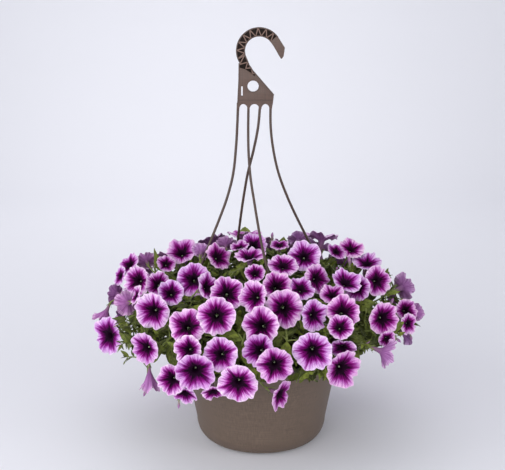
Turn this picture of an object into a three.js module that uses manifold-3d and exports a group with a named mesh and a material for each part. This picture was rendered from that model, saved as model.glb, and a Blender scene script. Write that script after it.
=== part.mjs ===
// Petunia hanging basket: a ten inch pot of trailing petunias on a one-piece moulded hanger.
// Millimetres, +Z up, origin at the middle of the pot's flat underside, front towards -Y.

import * as THREE from 'three';
import { mergeVertices } from 'three/addons/utils/BufferGeometryUtils.js';
import Module from 'manifold-3d';

const wasm = await Module();
wasm.setup();

// Driving dimensions of the pot
const POT_HEIGHT = 150;
const POT_RIM_RADIUS = 127;
const POT_RIM_DEPTH = 9;
const POT_RIM_INNER = 119.5;
const POT_WALL = 1.8;
const POT_TOP_RADIUS = 122;
const POT_SHOULDER_RADIUS = 101.6;
const POT_SHOULDER_HEIGHT = 33;
const POT_FOOT_RADIUS = 80;
const POT_FOOT_BEVEL = { width: 4, height: 2 };
const POT_SHOULDER_STEPS = 3;
const POT_RIM_ROUND = 1.5;
const POT_FLOOR = 2.4;
const POT_SIDES = 30;
const DRAIN_COUNT = 4;
const DRAIN_RADIUS = 5;
const DRAIN_CIRCLE = 58;
const DRAIN_SIDES = 8;
const CLEARANCE = 0.3;

// The potting mix
const MIX_EDGE_HEIGHT = 133;
const MIX_CROWN_HEIGHT = 139;
const MIX_MARGIN = 1.2;
const MIX_BROW = { share: 0.6, drop: 1.5 };
const HOLE_RADIUS = 5;
const HOLE_FLOOR = 104;
const HOLE_REACH = 30;

// The hanger: hook and plate, and four strands clipped to the rim
const PLATE_THICKNESS = 4;
const PLATE_FOOT = 530.4;
const HOOK_CENTRE = { x: -3.6, z: 607.5 };
const HOOK_INNER = 21;
const HOOK_OUTER = 34.5;
const HOOK_END_TURN = 37;
const HOOK_NECK_TURN = 195;
const HOOK_ROOT_TURN = 211;
const EYE = { x: -12.7, z: 555.3, radius: 8.4 };
const SLIT = { x: -29.3, z: 548, width: 2.4, height: 14 };
const STRAND_RADIUS = 2;
const STRAND_SIDES = 5;
const STRAND_STEPS = 11;
const CLIP_WIDTH = 9;
const CLIP_WALL = 2.5;
const CLIP_CIRCLE = 125;
const CLIP_INSET = 0.5;

// The mound of flowers, as the ellipsoid that the throats lie on
const MOUND_CENTRE_Z = 178;
const MOUND_RADIUS = 232;
const MOUND_RISE = 128;
const MOUND_FALL = 112;

// The photograph's view: its scale at the pot's axis, its tilt and its distance
const VIEW_TILT = 15;
const VIEW_DISTANCE = 2000;
const MM_PER_PIXEL = 1.6;
const AXIS_X = 261;
const BASE_Y = 432;
const PICTURE_MIDDLE = { x: 252.5, y: 235 };

// One bloom, for a span of 1: a funnel-shaped limb with five lobes on a slim tube
const THROAT_RADIUS = 0.1;
const THROAT_DEPTH = 0.22;
const BACK_RADIUS = 0.135;
const BACK_DROP = 0.1;
const TUBE_LENGTH = 0.5;
const TUBE_END_RADIUS = 0.055;
const LOBE_HALF_ANGLE = 21;
const LOBE_WAVE = 0.09;
const LOBE_REACH = { least: 0.97, more: 0.08 };
const NOTCH_RADIUS = 0.82;
const NOTCH_SINK = 0.35;
const PEDICEL_RADIUS = 1.5;
const STEM_RADIUS = 2.1;

// Leaves
const LEAF_THICK_TIP = 1.3;
const LEAF_THICK_BASE = 1.7;
const LEAF_ROOT = 1;
const LEAF_SINK = 0.5;
const LEAF_WIDEST = { share: 0.42, half: 0.25, droop: 0 };
const LEAF_SHOULDER = { share: 0.76, half: 0.19, droop: 0.03 };
const LEAF_TIP_DROOP = 0.1;
const LEAF_FOLD = 0.1;

// Blooms that the photograph shows: throat's x and y in pixels, span in mm, the way that the bloom
// faces, as degrees to the right and upwards of the line to the camera, its flare where half open or
// null, and how far behind the mound's front it hangs, in mm: below 0 it hangs in front
const SEEN_BLOOMS = [
  [182, 254, 48, -5, 40],
  [194, 280, 50, 0, 10],
  [206, 288, 42, 45, 10],
  [227, 294, 48, 5, 10],
  [216.5, 316, 54, 0, 0],
  [217, 258, 44, 40, 25],
  [154.6, 310.6, 54, -20, -5],
  [195.3, 370, 56, 0, -20, null, -16],
  [187.5, 327, 52, -5, 15],
  [189.5, 349.5, 48, -15, 0],
  [221, 354.5, 50, -15, 0],
  [238.3, 382, 56, -10, -20],
  [274.5, 364, 50, 0, -15, null, -12],
  [260.5, 350.3, 46, -10, 0],
  [262, 326, 54, -15, 5],
  [283.6, 308.4, 56, 5, -5],
  [312.9, 315, 46, 35, 0],
  [312.5, 350, 55, 0, -10],
  [342.3, 312.8, 48, 10, 15],
  [339.8, 328, 38, 5, 25],
  [340.3, 367.4, 54, 30, -15],
  [381.5, 318, 50, 25, -5],
  [279, 394, 46, 60, -20],
  [276, 287.5, 44, 0, 25],
  [283, 266.7, 46, 0, 45],
  [304, 257.3, 50, 0, 25],
  [300.5, 290, 40, 25, 20],
  [315.5, 279, 44, 35, 5],
  [253.5, 246.3, 42, 0, 25],
  [256.3, 297.5, 46, -35, 5],
  [255, 274, 30, 0, 30],
  [249.7, 259.4, 46, 0, 65],
  [240, 248.6, 30, -20, 65],
  [139, 281, 46, -28, 5],
  [130.5, 265, 38, -40, 30],
  [146.5, 261.5, 32, -160, 30],
  [158.5, 285, 38, 0, 10],
  [166, 264.5, 30, 15, 30],
  [171, 293.7, 40, 0, 20],
  [110, 335.5, 58, -42, -5],
  [147.6, 347.5, 48, -35, -10],
  [149.5, 373, 30, 180, -80, 0.85, 36],
  [173, 378.5, 44, -20, -8],
  [184.5, 392, 40, -20, -50],
  [213, 391, 34, 10, -55],
  [279.5, 246, 30, 0, 60],
  [298.5, 240, 36, 175, 55],
  [321.5, 240.5, 54, 180, 66],
  [336, 252, 32, 30, 40],
  [350.8, 249.9, 42, 20, 40],
  [367, 264.5, 48, 15, 50],
  [358, 288, 40, -20, 10],
  [332, 296, 36, -5, 45],
  [344.8, 284, 46, 10, 35],
  [376, 281, 46, 30, 5],
  [402, 288, 46, 122, 12],
  [405, 310.5, 34, 15, 10],
  [407.5, 323.5, 34, 38, -5],
  [386.5, 338.5, 26, 15, -20],
  [342, 347, 40, 0, -45],
  [121, 276, 32, -55, 15],
  [117, 294, 36, -125, 5],
  [128, 303, 38, -150, -10],
  [106.5, 311, 34, -100, -78, 0.5, 20],
  [414, 313, 30, 150, 0],
  [201.3, 252.4, 30, 170, 40],
  [226, 245, 32, 180, 50],
  [381, 351, 44, 100, -20, 0.3],
  [137, 296, 32, -70, 20],
];

// Leafy shoots whose tips show between the blooms, in the photograph's pixels
const SEEN_SHOOTS = [
  [125, 326],
  [163, 345],
  [213, 337],
  [242, 345],
  [287, 341],
  [363, 325],
  [358, 344],
  [130, 347],
  [391, 278],
  [236, 271],
];

// Blooms and shoots round the hidden side
const HIDDEN_SPAN = 57;
const HIDDEN_SIZE = { least: 0.85, more: 0.25 };
const HIDDEN_FROM = 0.4;
const FIRST_HIDDEN = 100;
const BLOOM_SPACE = 44;
const HIDDEN_LEAN = 0.55;
const BARE_FRONT = { y: -60, z: 165 };
const BARE_SIDE = { x: 150, height: 150 };
const WHOLE_MOUND = 112;
const LOWEST_RISE = -0.72;
const HIDDEN_SHOOTS = 9;
const SHOOTS_FROM = 0.3;
const WHOLE_SHOOTS = 22;
const SHOOT_LEVEL = 0.9;
const SHOOT_RANGE = 1.3;
const SPRAY_SIZE = 4;
const SPRAY_REACH = 150;
const LEAVES_PER_SHOOT = 6;
const LEAF_TOP_SHARE = 0.98;
const LEAFY_SHARE = 0.6;
const LEAF_LENGTH = 46;
const LEAF_SIZE = { least: 0.8, more: 0.3 };
const LEAF_WAY = { up: 0.35, side: 0.9, out: 0.25 };
const LEAF_SIZES = [1, 0.85, 0.7];
const LEAF_TURNS = 12;
const LEAF_BARE_SHARE = 0.35;
const SEED = 7;

// How plants are set clear of each other, and where their stems run
const GAP = 0.5;
const FUSE_TOLERANCE = 0.05;
const FINEST_EDGE = 0.01;
const FINEST_FACE = 0.002;
const JOINT_SINK = 1.2;
const PEDICEL_BEND = 0.5;
const PEDICEL_REACH = 0.45;
const STUB_LENGTH = 26;
const JOINT_SPACE = 22;
const JOINT_SHARES = [0, 0.33, 0.67, 1];
const BLOOM_SIZES = [1, 0.93, 0.86, 0.78, 0.7];
const BLOOM_STEPS = [0, -8, 8, -16, 16, -24, 24, -32, 32, 40];
const BLOOM_LEANS = [0, 1, 2];
const BLOOM_LEAN = 0.45;
const ROOT_CIRCLE = 104;
const ROOT_LEVEL = 100;
const ROOT_LIFT = 2;
const RIM_ARCH = 42;
const RIM_MARGIN = 12;
const ELBOW_SHARE = 0.33;
const ELBOW_LIFT = 10;
const STEM_SWAY = { step: 3, most: 90 };
const FORK_SWAY = { step: 2, most: 70 };
const PEDICEL_SWAY = 40;
const USUAL_FORK = { share: 0.34, attempts: 12 };
const OTHER_FORK = { least: 0.15, more: 0.5 };
const FORK_FLOOR = 165;
const STEM_ATTEMPTS = 1200;
const BEHIND_ATTEMPTS = 600;
const TAKE_FLARE = 0.16;

const GOLDEN_ANGLE = Math.PI * (3 - Math.sqrt(5));
const UP = new THREE.Vector3(0, 0, 1);

const radians = (degrees) => degrees * Math.PI / 180;
const vec = (x, y, z) => new THREE.Vector3(x, y, z);
const mix = (a, b, t) => a.clone().lerp(b, t);
const along = (point, direction, distance) => point.clone().addScaledVector(direction, distance);
const between = ({ least, more }, part) => least + more * part;

// A repeatable number from 0 to 1 for each step of each plant
function chance(index, salt = 0) {
  const wave = Math.sin(index * 12.9898 + (salt + SEED) * 78.233) * 43758.5453;
  return wave - Math.floor(wave);
}

// Solids and meshes
function solidFrom(vertices, triangles) {
  return new wasm.Manifold(new wasm.Mesh({
    numProp: 3,
    vertProperties: new Float32Array(vertices),
    triVerts: new Uint32Array(triangles),
  }));
}

function solidOf(geometry) {
  const plain = geometry.clone();
  plain.deleteAttribute('normal');
  plain.deleteAttribute('uv');
  const merged = mergeVertices(plain, 1e-4);
  return solidFrom(merged.attributes.position.array, merged.index.array);
}

function geometryOf(solid) {
  const { vertProperties, triVerts } = solid.getMesh();
  const geometry = new THREE.BufferGeometry();
  geometry.setAttribute('position', new THREE.BufferAttribute(vertProperties, 3));
  geometry.setIndex(new THREE.BufferAttribute(triVerts, 1));
  geometry.computeVertexNormals();
  return geometry;
}

function fuse(solids) {
  return solids.reduce((whole, next) => whole.add(next)).asOriginal().simplify(FUSE_TOLERANCE);
}

// Whether a fused solid is one body with no edge or face too fine to hold
function isSound(solid) {
  if (solid.decompose().length !== 1) return false;
  const { vertProperties, triVerts } = solid.getMesh();
  const corner = (i) => vec(...vertProperties.slice(3 * triVerts[i], 3 * triVerts[i] + 3));
  for (let i = 0; i < triVerts.length; i += 3) {
    const [a, b, c] = [corner(i), corner(i + 1), corner(i + 2)];
    const sides = [a.distanceTo(b), b.distanceTo(c), c.distanceTo(a)];
    const doubleArea = b.sub(a).cross(c.sub(a)).length();
    if (Math.min(...sides) < FINEST_EDGE || doubleArea / Math.max(...sides) < FINEST_FACE) return false;
  }
  return true;
}

const basket = new THREE.Group();
basket.name = 'petunia_hanging_basket';

function addPiece(name, solid, material) {
  const mesh = new THREE.Mesh(geometryOf(solid), material);
  mesh.name = name;
  basket.add(mesh);
}

const MATERIALS = {
  pot: new THREE.MeshStandardMaterial({ color: 0x5f5550, roughness: 0.6, metalness: 0 }),
  hanger: new THREE.MeshStandardMaterial({ color: 0x6a594f, roughness: 0.5, metalness: 0 }),
  mix: new THREE.MeshStandardMaterial({ color: 0x3a2a1e, roughness: 1, metalness: 0 }),
  petal: new THREE.MeshStandardMaterial({ color: 0xa34c9e, roughness: 0.7, metalness: 0 }),
  leaf: new THREE.MeshStandardMaterial({ color: 0x5a6b2a, roughness: 0.6, metalness: 0 }),
};

// A skin of triangles between two closed rings of points, which may differ in count
function zip(first, second, firstCount, secondCount, triangles) {
  const firstSteps = firstCount > 1 ? firstCount : 0;
  const firstIsSparse = firstCount <= secondCount;
  let a = 0;
  let b = 0;
  while (a < firstSteps || b < secondCount) {
    const shareFirst = (a + 1) / firstCount;
    const shareSecond = (b + 1) / secondCount;
    const firstIsDue = firstIsSparse ? shareFirst <= shareSecond : shareFirst < shareSecond;
    const stepFirst = b === secondCount || (a < firstSteps && firstIsDue);
    const a0 = first + a % firstCount;
    const b0 = second + b % secondCount;
    if (stepFirst) {
      triangles.push(a0, first + (a + 1) % firstCount, b0);
      a += 1;
    } else {
      triangles.push(a0, second + (b + 1) % secondCount, b0);
      b += 1;
    }
  }
}

// A closed skin through rings of points, each turning anticlockwise about the way it runs
function loft(rings) {
  const vertices = [];
  const triangles = [];
  const starts = [];
  for (const ring of rings) {
    starts.push(vertices.length / 3);
    ring.forEach((point) => vertices.push(point.x, point.y, point.z));
  }
  for (let i = 1; i < rings.length; i += 1) {
    zip(starts[i - 1], starts[i], rings[i - 1].length, rings[i].length, triangles);
  }
  const first = rings[0].length;
  const last = rings[rings.length - 1].length;
  const lastStart = starts[starts.length - 1];
  for (let i = 1; i < first - 1; i += 1) triangles.push(0, i + 1, i);
  for (let i = 1; i < last - 1; i += 1) triangles.push(lastStart, lastStart + i, lastStart + i + 1);
  return solidFrom(vertices, triangles);
}

// Rings of a round section along a curve, kept from twisting
function tubeRings(points, radii, sides) {
  const rings = [];
  let side = null;
  points.forEach((point, i) => {
    const before = points[Math.max(i - 1, 0)];
    const after = points[Math.min(i + 1, points.length - 1)];
    const run = after.clone().sub(before).normalize();
    if (!side) side = Math.abs(run.x) < 0.8 ? vec(1, 0, 0) : vec(0, 1, 0);
    side = side.clone().addScaledVector(run, -side.dot(run)).normalize();
    const other = run.clone().cross(side);
    const ring = [];
    for (let k = 0; k < sides; k += 1) {
      const angle = 2 * Math.PI * k / sides;
      ring.push(along(along(point, side, radii[i] * Math.cos(angle)), other, radii[i] * Math.sin(angle)));
    }
    rings.push(ring);
  });
  return rings;
}

function tube(points, radii, sides) {
  return loft(tubeRings(points, radii, sides));
}

// The pot: foot, curved shoulder, straight wall and rolled rim, with drain holes
function potProfile() {
  const bevel = POT_FOOT_BEVEL;
  const outer = [new THREE.Vector2(0, 0), new THREE.Vector2(POT_FOOT_RADIUS - bevel.width, 0)];
  outer.push(new THREE.Vector2(POT_FOOT_RADIUS, bevel.height));
  for (let i = 1; i <= POT_SHOULDER_STEPS; i += 1) {
    const turn = i / POT_SHOULDER_STEPS * Math.PI / 2;
    const radius = POT_FOOT_RADIUS + (POT_SHOULDER_RADIUS - POT_FOOT_RADIUS) * Math.sin(turn);
    const rise = (POT_SHOULDER_HEIGHT - bevel.height) * (1 - Math.cos(turn));
    outer.push(new THREE.Vector2(radius, bevel.height + rise));
  }
  const rimFoot = POT_HEIGHT - POT_RIM_DEPTH;
  outer.push(new THREE.Vector2(POT_TOP_RADIUS, rimFoot));
  outer.push(new THREE.Vector2(POT_RIM_RADIUS - POT_RIM_ROUND, rimFoot));
  outer.push(new THREE.Vector2(POT_RIM_RADIUS, rimFoot + POT_RIM_ROUND));
  outer.push(new THREE.Vector2(POT_RIM_RADIUS, POT_HEIGHT - POT_RIM_ROUND));
  outer.push(new THREE.Vector2(POT_RIM_RADIUS - POT_RIM_ROUND, POT_HEIGHT));
  return outer;
}

// The inside of the wall, or a skin that stands off it
function potInnerProfile(offset) {
  const bevel = POT_FOOT_BEVEL.height;
  const foot = POT_FOOT_RADIUS - POT_WALL - offset;
  const shoulder = POT_SHOULDER_RADIUS - POT_WALL - offset;
  const floor = POT_FLOOR + offset;
  const inner = [new THREE.Vector2(0, floor), new THREE.Vector2(foot - bevel, floor)];
  for (const turn of [Math.PI / 4, Math.PI / 2]) {
    inner.push(new THREE.Vector2(
      foot + (shoulder - foot) * Math.sin(turn),
      floor + bevel + (POT_SHOULDER_HEIGHT - 2 * bevel) * (1 - Math.cos(turn)),
    ));
  }
  return inner;
}

function buildPot() {
  const inner = potInnerProfile(0);
  inner.push(new THREE.Vector2(POT_RIM_INNER, POT_HEIGHT - POT_RIM_DEPTH));
  inner.push(new THREE.Vector2(POT_RIM_INNER, POT_HEIGHT));
  const profile = potProfile().concat(inner.reverse());
  const shell = new THREE.LatheGeometry(profile, POT_SIDES);
  shell.rotateX(Math.PI / 2);
  let pot = solidOf(shell);
  for (let i = 0; i < DRAIN_COUNT; i += 1) {
    const hole = new THREE.CylinderGeometry(DRAIN_RADIUS, DRAIN_RADIUS, 4 * POT_FLOOR, DRAIN_SIDES);
    const angle = 2 * Math.PI * (i + 0.5) / DRAIN_COUNT;
    hole.rotateX(Math.PI / 2);
    hole.translate(DRAIN_CIRCLE * Math.cos(angle), DRAIN_CIRCLE * Math.sin(angle), 0);
    pot = pot.subtract(solidOf(hole));
  }
  return pot;
}

// Each plant stands in a plain hole in the mix
function buildMix(holes) {
  const profile = potInnerProfile(CLEARANCE);
  const edge = POT_RIM_INNER - CLEARANCE - MIX_MARGIN;
  profile.push(new THREE.Vector2(edge, MIX_EDGE_HEIGHT));
  profile.push(new THREE.Vector2(edge * MIX_BROW.share, MIX_CROWN_HEIGHT - MIX_BROW.drop));
  profile.push(new THREE.Vector2(0, MIX_CROWN_HEIGHT));
  const body = new THREE.LatheGeometry(profile, POT_SIDES);
  body.rotateX(Math.PI / 2);
  let soil = solidOf(body);
  for (const hole of holes) {
    const well = new THREE.CylinderGeometry(HOLE_RADIUS, HOLE_RADIUS, 2 * HOLE_REACH, 3);
    well.rotateX(Math.PI / 2);
    well.translate(hole.x, hole.y, HOLE_FLOOR + HOLE_REACH);
    soil = soil.subtract(solidOf(well));
  }
  return soil;
}

// The hook and its plate, flat, as one outline seen from the front
function hookOutline() {
  const turn = radians(HOOK_END_TURN);
  const outline = new THREE.Shape();
  outline.moveTo(-36.4, PLATE_FOOT);
  outline.lineTo(16.9, PLATE_FOOT);
  outline.lineTo(18.3, 543);
  outline.lineTo(-12.5, 578.5);
  outline.lineTo(-17.4, 586);
  outline.absarc(HOOK_CENTRE.x, HOOK_CENTRE.z, HOOK_INNER, radians(HOOK_NECK_TURN), turn, true);
  outline.lineTo(17, 615);
  outline.lineTo(28.4, 595.4);
  outline.lineTo(32.7, 600.1);
  outline.lineTo(34.1, 612);
  outline.absarc(HOOK_CENTRE.x, HOOK_CENTRE.z, HOOK_OUTER, turn, radians(HOOK_ROOT_TURN), false);
  outline.lineTo(-34.5, 565.1);
  outline.closePath();
  const eye = new THREE.Path();
  eye.absarc(EYE.x, EYE.z, EYE.radius, 0, 2 * Math.PI, false);
  const slit = new THREE.Path();
  slit.moveTo(SLIT.x - SLIT.width / 2, SLIT.z - SLIT.height / 2);
  slit.lineTo(SLIT.x + SLIT.width / 2, SLIT.z - SLIT.height / 2);
  slit.lineTo(SLIT.x + SLIT.width / 2, SLIT.z + SLIT.height / 2);
  slit.lineTo(SLIT.x - SLIT.width / 2, SLIT.z + SLIT.height / 2);
  slit.closePath();
  outline.holes.push(eye, slit);
  return outline;
}

// The strands' routes from the plate to the rim, then the rim's clips, by their turn round the pot
const STRANDS = [
  {
    side: 'left',
    turn: 200,
    route: [[-35, 0, 538], [-37, 0, 484], [-40, -2, 446], [-46, -6, 406], [-57, -12, 374], [-68, -20, 345],
      [-77, -26, 324], [-98, -34, 268], [-113, -39, 214]],
  },
  {
    side: 'front',
    turn: 290,
    route: [[-19.5, 0, 538], [-20, 0, 496], [-20, -3, 466], [-18, -7, 436], [-15, -14, 405], [-9, -28, 374],
      [-3, -50, 341], [8, -84, 297], [22, -106, 249], [34, -115, 199]],
  },
  {
    side: 'back',
    turn: 110,
    route: [[-2, 0, 538], [-6, 0, 488], [-12, 3, 458], [-17, 6, 440], [-22, 11, 414], [-28, 25, 376],
      [-34, 45, 328], [-38, 68, 288], [-40, 95, 244], [-41, 111, 194]],
  },
  {
    side: 'right',
    turn: 20,
    route: [[13.3, 0, 538], [13.5, 0, 496], [17, 2, 464], [23, 5, 432], [34, 9, 399], [45, 14, 370],
      [57, 20, 345], [68, 26, 321], [90, 33, 273], [109, 38, 219]],
  },
];

// A clip that hugs the rim, drawn as radius and height
function buildClip(turn) {
  const outside = POT_RIM_RADIUS + CLEARANCE;
  const inside = POT_RIM_INNER - CLEARANCE - CLIP_INSET;
  const foot = POT_HEIGHT - POT_RIM_DEPTH - CLEARANCE;
  const top = POT_HEIGHT + CLEARANCE;
  const outline = new THREE.Shape();
  outline.moveTo(outside - CLIP_WALL, foot - CLIP_WALL);
  outline.lineTo(outside + CLIP_WALL, foot - CLIP_WALL);
  outline.lineTo(outside + CLIP_WALL, top + CLIP_WALL);
  outline.lineTo(inside - CLIP_WALL, top + CLIP_WALL);
  outline.lineTo(inside - CLIP_WALL, foot + CLIP_WALL);
  outline.lineTo(inside, foot + CLIP_WALL);
  outline.lineTo(inside, top);
  outline.lineTo(outside, top);
  outline.lineTo(outside, foot);
  outline.lineTo(outside - CLIP_WALL, foot);
  const clip = new THREE.ExtrudeGeometry(outline, { depth: CLIP_WIDTH, bevelEnabled: false });
  clip.rotateX(Math.PI / 2);
  clip.translate(0, CLIP_WIDTH / 2, 0);
  clip.rotateZ(radians(turn));
  return solidOf(clip);
}

// The strands start just under the plate, each in its own body, and end fused to their clips
function strandCurve(strand) {
  const [top, ...rest] = strand.route.map(([x, y, z]) => vec(x, y, z));
  top.z = PLATE_FOOT - CLEARANCE;
  const points = [top, ...rest];
  const turn = radians(strand.turn);
  const seat = vec(CLIP_CIRCLE * Math.cos(turn), CLIP_CIRCLE * Math.sin(turn), POT_HEIGHT + CLIP_WALL / 2);
  points.push(seat);
  return new THREE.CatmullRomCurve3(points);
}

function buildHook() {
  const plate = new THREE.ExtrudeGeometry(hookOutline(), {
    depth: PLATE_THICKNESS,
    bevelEnabled: false,
    curveSegments: 10,
  });
  plate.rotateX(Math.PI / 2);
  plate.translate(0, PLATE_THICKNESS / 2, 0);
  return solidOf(plate);
}

function buildStrand(strand) {
  const points = strandCurve(strand).getSpacedPoints(STRAND_STEPS);
  const cord = tube(points, points.map(() => STRAND_RADIUS), STRAND_SIDES);
  return fuse([cord, buildClip(strand.turn)]);
}

// The photograph's line of sight, to set a bloom on the mound where it is seen
const TO_CAMERA = vec(0, -Math.cos(radians(VIEW_TILT)), Math.sin(radians(VIEW_TILT)));
const PICTURE_UP = vec(0, Math.sin(radians(VIEW_TILT)), Math.cos(radians(VIEW_TILT)));

function picturePoint(x, y) {
  const point = vec((x - AXIS_X) * MM_PER_PIXEL, 0, 0);
  return along(point, PICTURE_UP, (BASE_Y - y) * MM_PER_PIXEL);
}

const CAMERA = along(picturePoint(PICTURE_MIDDLE.x, PICTURE_MIDDLE.y), TO_CAMERA, VIEW_DISTANCE);

function moundReach(point) {
  const rise = point.z > MOUND_CENTRE_Z ? MOUND_RISE : MOUND_FALL;
  return Math.hypot(point.x / MOUND_RADIUS, point.y / MOUND_RADIUS, (point.z - MOUND_CENTRE_Z) / rise);
}

function moundNormal(point) {
  const rise = point.z > MOUND_CENTRE_Z ? MOUND_RISE : MOUND_FALL;
  const wide = MOUND_RADIUS ** 2;
  return vec(point.x / wide, point.y / wide, (point.z - MOUND_CENTRE_Z) / rise ** 2).normalize();
}

// Where a line of sight first meets the mound, or passes nearest to it
function onMound(x, y, size = 1) {
  const target = picturePoint(x, y);
  let nearest = null;
  for (let share = 0.8; share < 1.2; share += 0.001) {
    const point = mix(CAMERA, target, share);
    const reach = moundReach(point) / size;
    if (!nearest || reach < nearest.reach) nearest = { point, reach };
    if (reach < 1) break;
  }
  return nearest.point;
}

function facing(yaw, tilt) {
  const [turn, rise] = [radians(yaw), radians(tilt)];
  const level = TO_CAMERA.clone().multiplyScalar(Math.cos(turn) * Math.cos(rise));
  level.x += Math.sin(turn) * Math.cos(rise);
  return along(level, PICTURE_UP, Math.sin(rise)).normalize();
}

function usualFlare(index) {
  return TAKE_FLARE * (0.5 + chance(index, 9));
}

function seenBlooms() {
  return SEEN_BLOOMS.map(([x, y, span, yaw, tilt, flare, back = 0], index) => {
    const front = onMound(x, y);
    const push = CAMERA.clone().sub(front).normalize();
    const throat = along(front, push, -back);
    return { throat, push, span, axis: facing(yaw, tilt), flare: flare ?? usualFlare(index), index };
  });
}

// The rest of the mound, mostly its hidden side, filled by the golden angle where there is room
function hiddenBlooms(seen) {
  const blooms = [];
  for (let i = 0; i < WHOLE_MOUND; i += 1) {
    const rise = 1 - (i + 0.5) / WHOLE_MOUND * (1 - LOWEST_RISE);
    const round = Math.sqrt(1 - rise * rise);
    const turn = i * GOLDEN_ANGLE;
    const height = rise > 0 ? MOUND_RISE : MOUND_FALL;
    const throat = vec(
      MOUND_RADIUS * round * Math.cos(turn),
      MOUND_RADIUS * round * Math.sin(turn),
      MOUND_CENTRE_Z + height * rise,
    );
    const push = moundNormal(throat);
    if (push.dot(TO_CAMERA) > HIDDEN_FROM) continue;
    if (throat.y < BARE_FRONT.y && throat.z < BARE_FRONT.z) continue;
    if (Math.abs(throat.x) > BARE_SIDE.x && throat.dot(PICTURE_UP) < BARE_SIDE.height) continue;
    if (seen.some((bloom) => bloom.throat.distanceTo(throat) < BLOOM_SPACE)) continue;
    const lean = vec(chance(i, 1) - 0.5, chance(i, 2) - 0.5, chance(i, 3) - 0.35);
    const span = HIDDEN_SPAN * between(HIDDEN_SIZE, chance(i, 4));
    const index = FIRST_HIDDEN + i;
    const axis = along(push, lean, HIDDEN_LEAN).normalize();
    blooms.push({ throat, push, span, axis, flare: usualFlare(index), index });
  }
  return blooms;
}

// A ring of points about a line that runs from the bloom back towards its stem
function ringAt(centre, run, side, radii, turns) {
  const other = run.clone().cross(side);
  return turns.map((turn, i) => {
    const radius = radii[i % radii.length];
    return along(along(centre, side, radius * Math.cos(turn)), other, radius * Math.sin(turn));
  });
}

const evenTurns = (count) => Array.from({ length: count }, (_, i) => 2 * Math.PI * i / count);

function squareTo(run, index) {
  const guide = Math.abs(run.z) < 0.8 ? UP : vec(1, 0, 0);
  const side = guide.clone().cross(run).normalize();
  return side.applyAxisAngle(run, radians(72) * chance(index, 5));
}

// The rings of one bloom: throat's depth, throat, lobed rim, back of the funnel, end of the tube
function bloomRings(bloom) {
  const { throat, axis, span, index } = bloom;
  const run = axis.clone().negate();
  const side = squareTo(run, index);
  const flare = bloom.flare * span;
  const lobe = radians(LOBE_HALF_ANGLE);
  const rim = [];
  for (let k = 0; k < 5; k += 1) {
    const mid = 2 * Math.PI * k / 5;
    const wave = (chance(index, 10 + k) - 0.5) * LOBE_WAVE * span;
    const reach = span / 2 * between(LOBE_REACH, chance(index, 20 + k));
    const edge = (lift, turn, size) => {
      const centre = along(throat, axis, flare + lift);
      return ringAt(centre, run, side, [size * reach], [mid + turn])[0];
    };
    rim.push(edge(wave, -lobe, 1), edge(-wave, lobe, 1));
    rim.push(edge(-flare * NOTCH_SINK, radians(36), NOTCH_RADIUS));
  }
  return [
    [along(throat, axis, -THROAT_DEPTH * span)],
    ringAt(throat, run, side, [THROAT_RADIUS * span], evenTurns(5)),
    rim,
    ringAt(along(throat, axis, -BACK_DROP * span), run, side, [BACK_RADIUS * span], evenTurns(5)),
    tubeEndRing(bloom),
  ];
}

function tubeEndRing(bloom) {
  const run = bloom.axis.clone().negate();
  const side = squareTo(run, bloom.index);
  return ringAt(tubeEnd(bloom), run, side, [TUBE_END_RADIUS * bloom.span], evenTurns(3));
}

function tubeEnd(bloom) {
  return along(bloom.throat, bloom.axis, -TUBE_LENGTH * bloom.span);
}

// The pedicel leaves the tube straight and turns over to the place where it joins the stem
function pedicelCurve(bloom, joint) {
  const start = tubeEnd(bloom);
  const elbow = along(start, bloom.axis, -PEDICEL_REACH * start.distanceTo(joint));
  if (bloom.sway) elbow.add(bloom.sway);
  return new THREE.QuadraticBezierCurve3(start, elbow, joint);
}

// Three-sided rings along a run of points, kept from twisting, from the bloom back to the root
function stemRings(bloom, points, radii) {
  let side = squareTo(bloom.axis.clone().negate(), bloom.index);
  return points.map((point, i) => {
    const before = i > 0 ? points[i - 1] : tubeEnd(bloom);
    const after = points[Math.min(i + 1, points.length - 1)];
    const way = after.clone().sub(before).normalize();
    side = side.clone().addScaledVector(way, -side.dot(way)).normalize();
    return ringAt(point, way, side, [radii[i]], evenTurns(3));
  });
}

function pedicelRings(bloom, joint) {
  const curve = pedicelCurve(bloom, joint);
  const end = along(joint, curve.getTangent(1), JOINT_SINK);
  const bend = curve.getPoint(PEDICEL_BEND);
  return stemRings(bloom, [bend, end], [PEDICEL_RADIUS, PEDICEL_RADIUS]);
}

// The leading bloom's pedicel runs on as the spray's own stem, down to its root
function leaderRings(bloom, fork, stem) {
  const curve = pedicelCurve(bloom, fork);
  const points = [curve.getPoint(PEDICEL_BEND), ...stem];
  const radii = points.map((_, i) => (i === 0 ? PEDICEL_RADIUS : STEM_RADIUS));
  return stemRings(bloom, points, radii);
}

// What is already in place, so that each new bloom, stem and leaf is set clear of it
const placed = [];

function boxOf(solid) {
  const { min, max } = solid.boundingBox();
  return new THREE.Box3(vec(...min), vec(...max));
}

function keep(solid, owner) {
  placed.push({ solid, owner, box: boxOf(solid).expandByScalar(GAP) });
}

function isClear(solid, owner = null) {
  const box = boxOf(solid);
  return !placed.some((other) => {
    if (owner !== null && other.owner === owner) return false;
    if (!box.intersectsBox(other.box)) return false;
    return solid.minGap(other.solid, GAP * 2) < GAP;
  });
}

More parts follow.
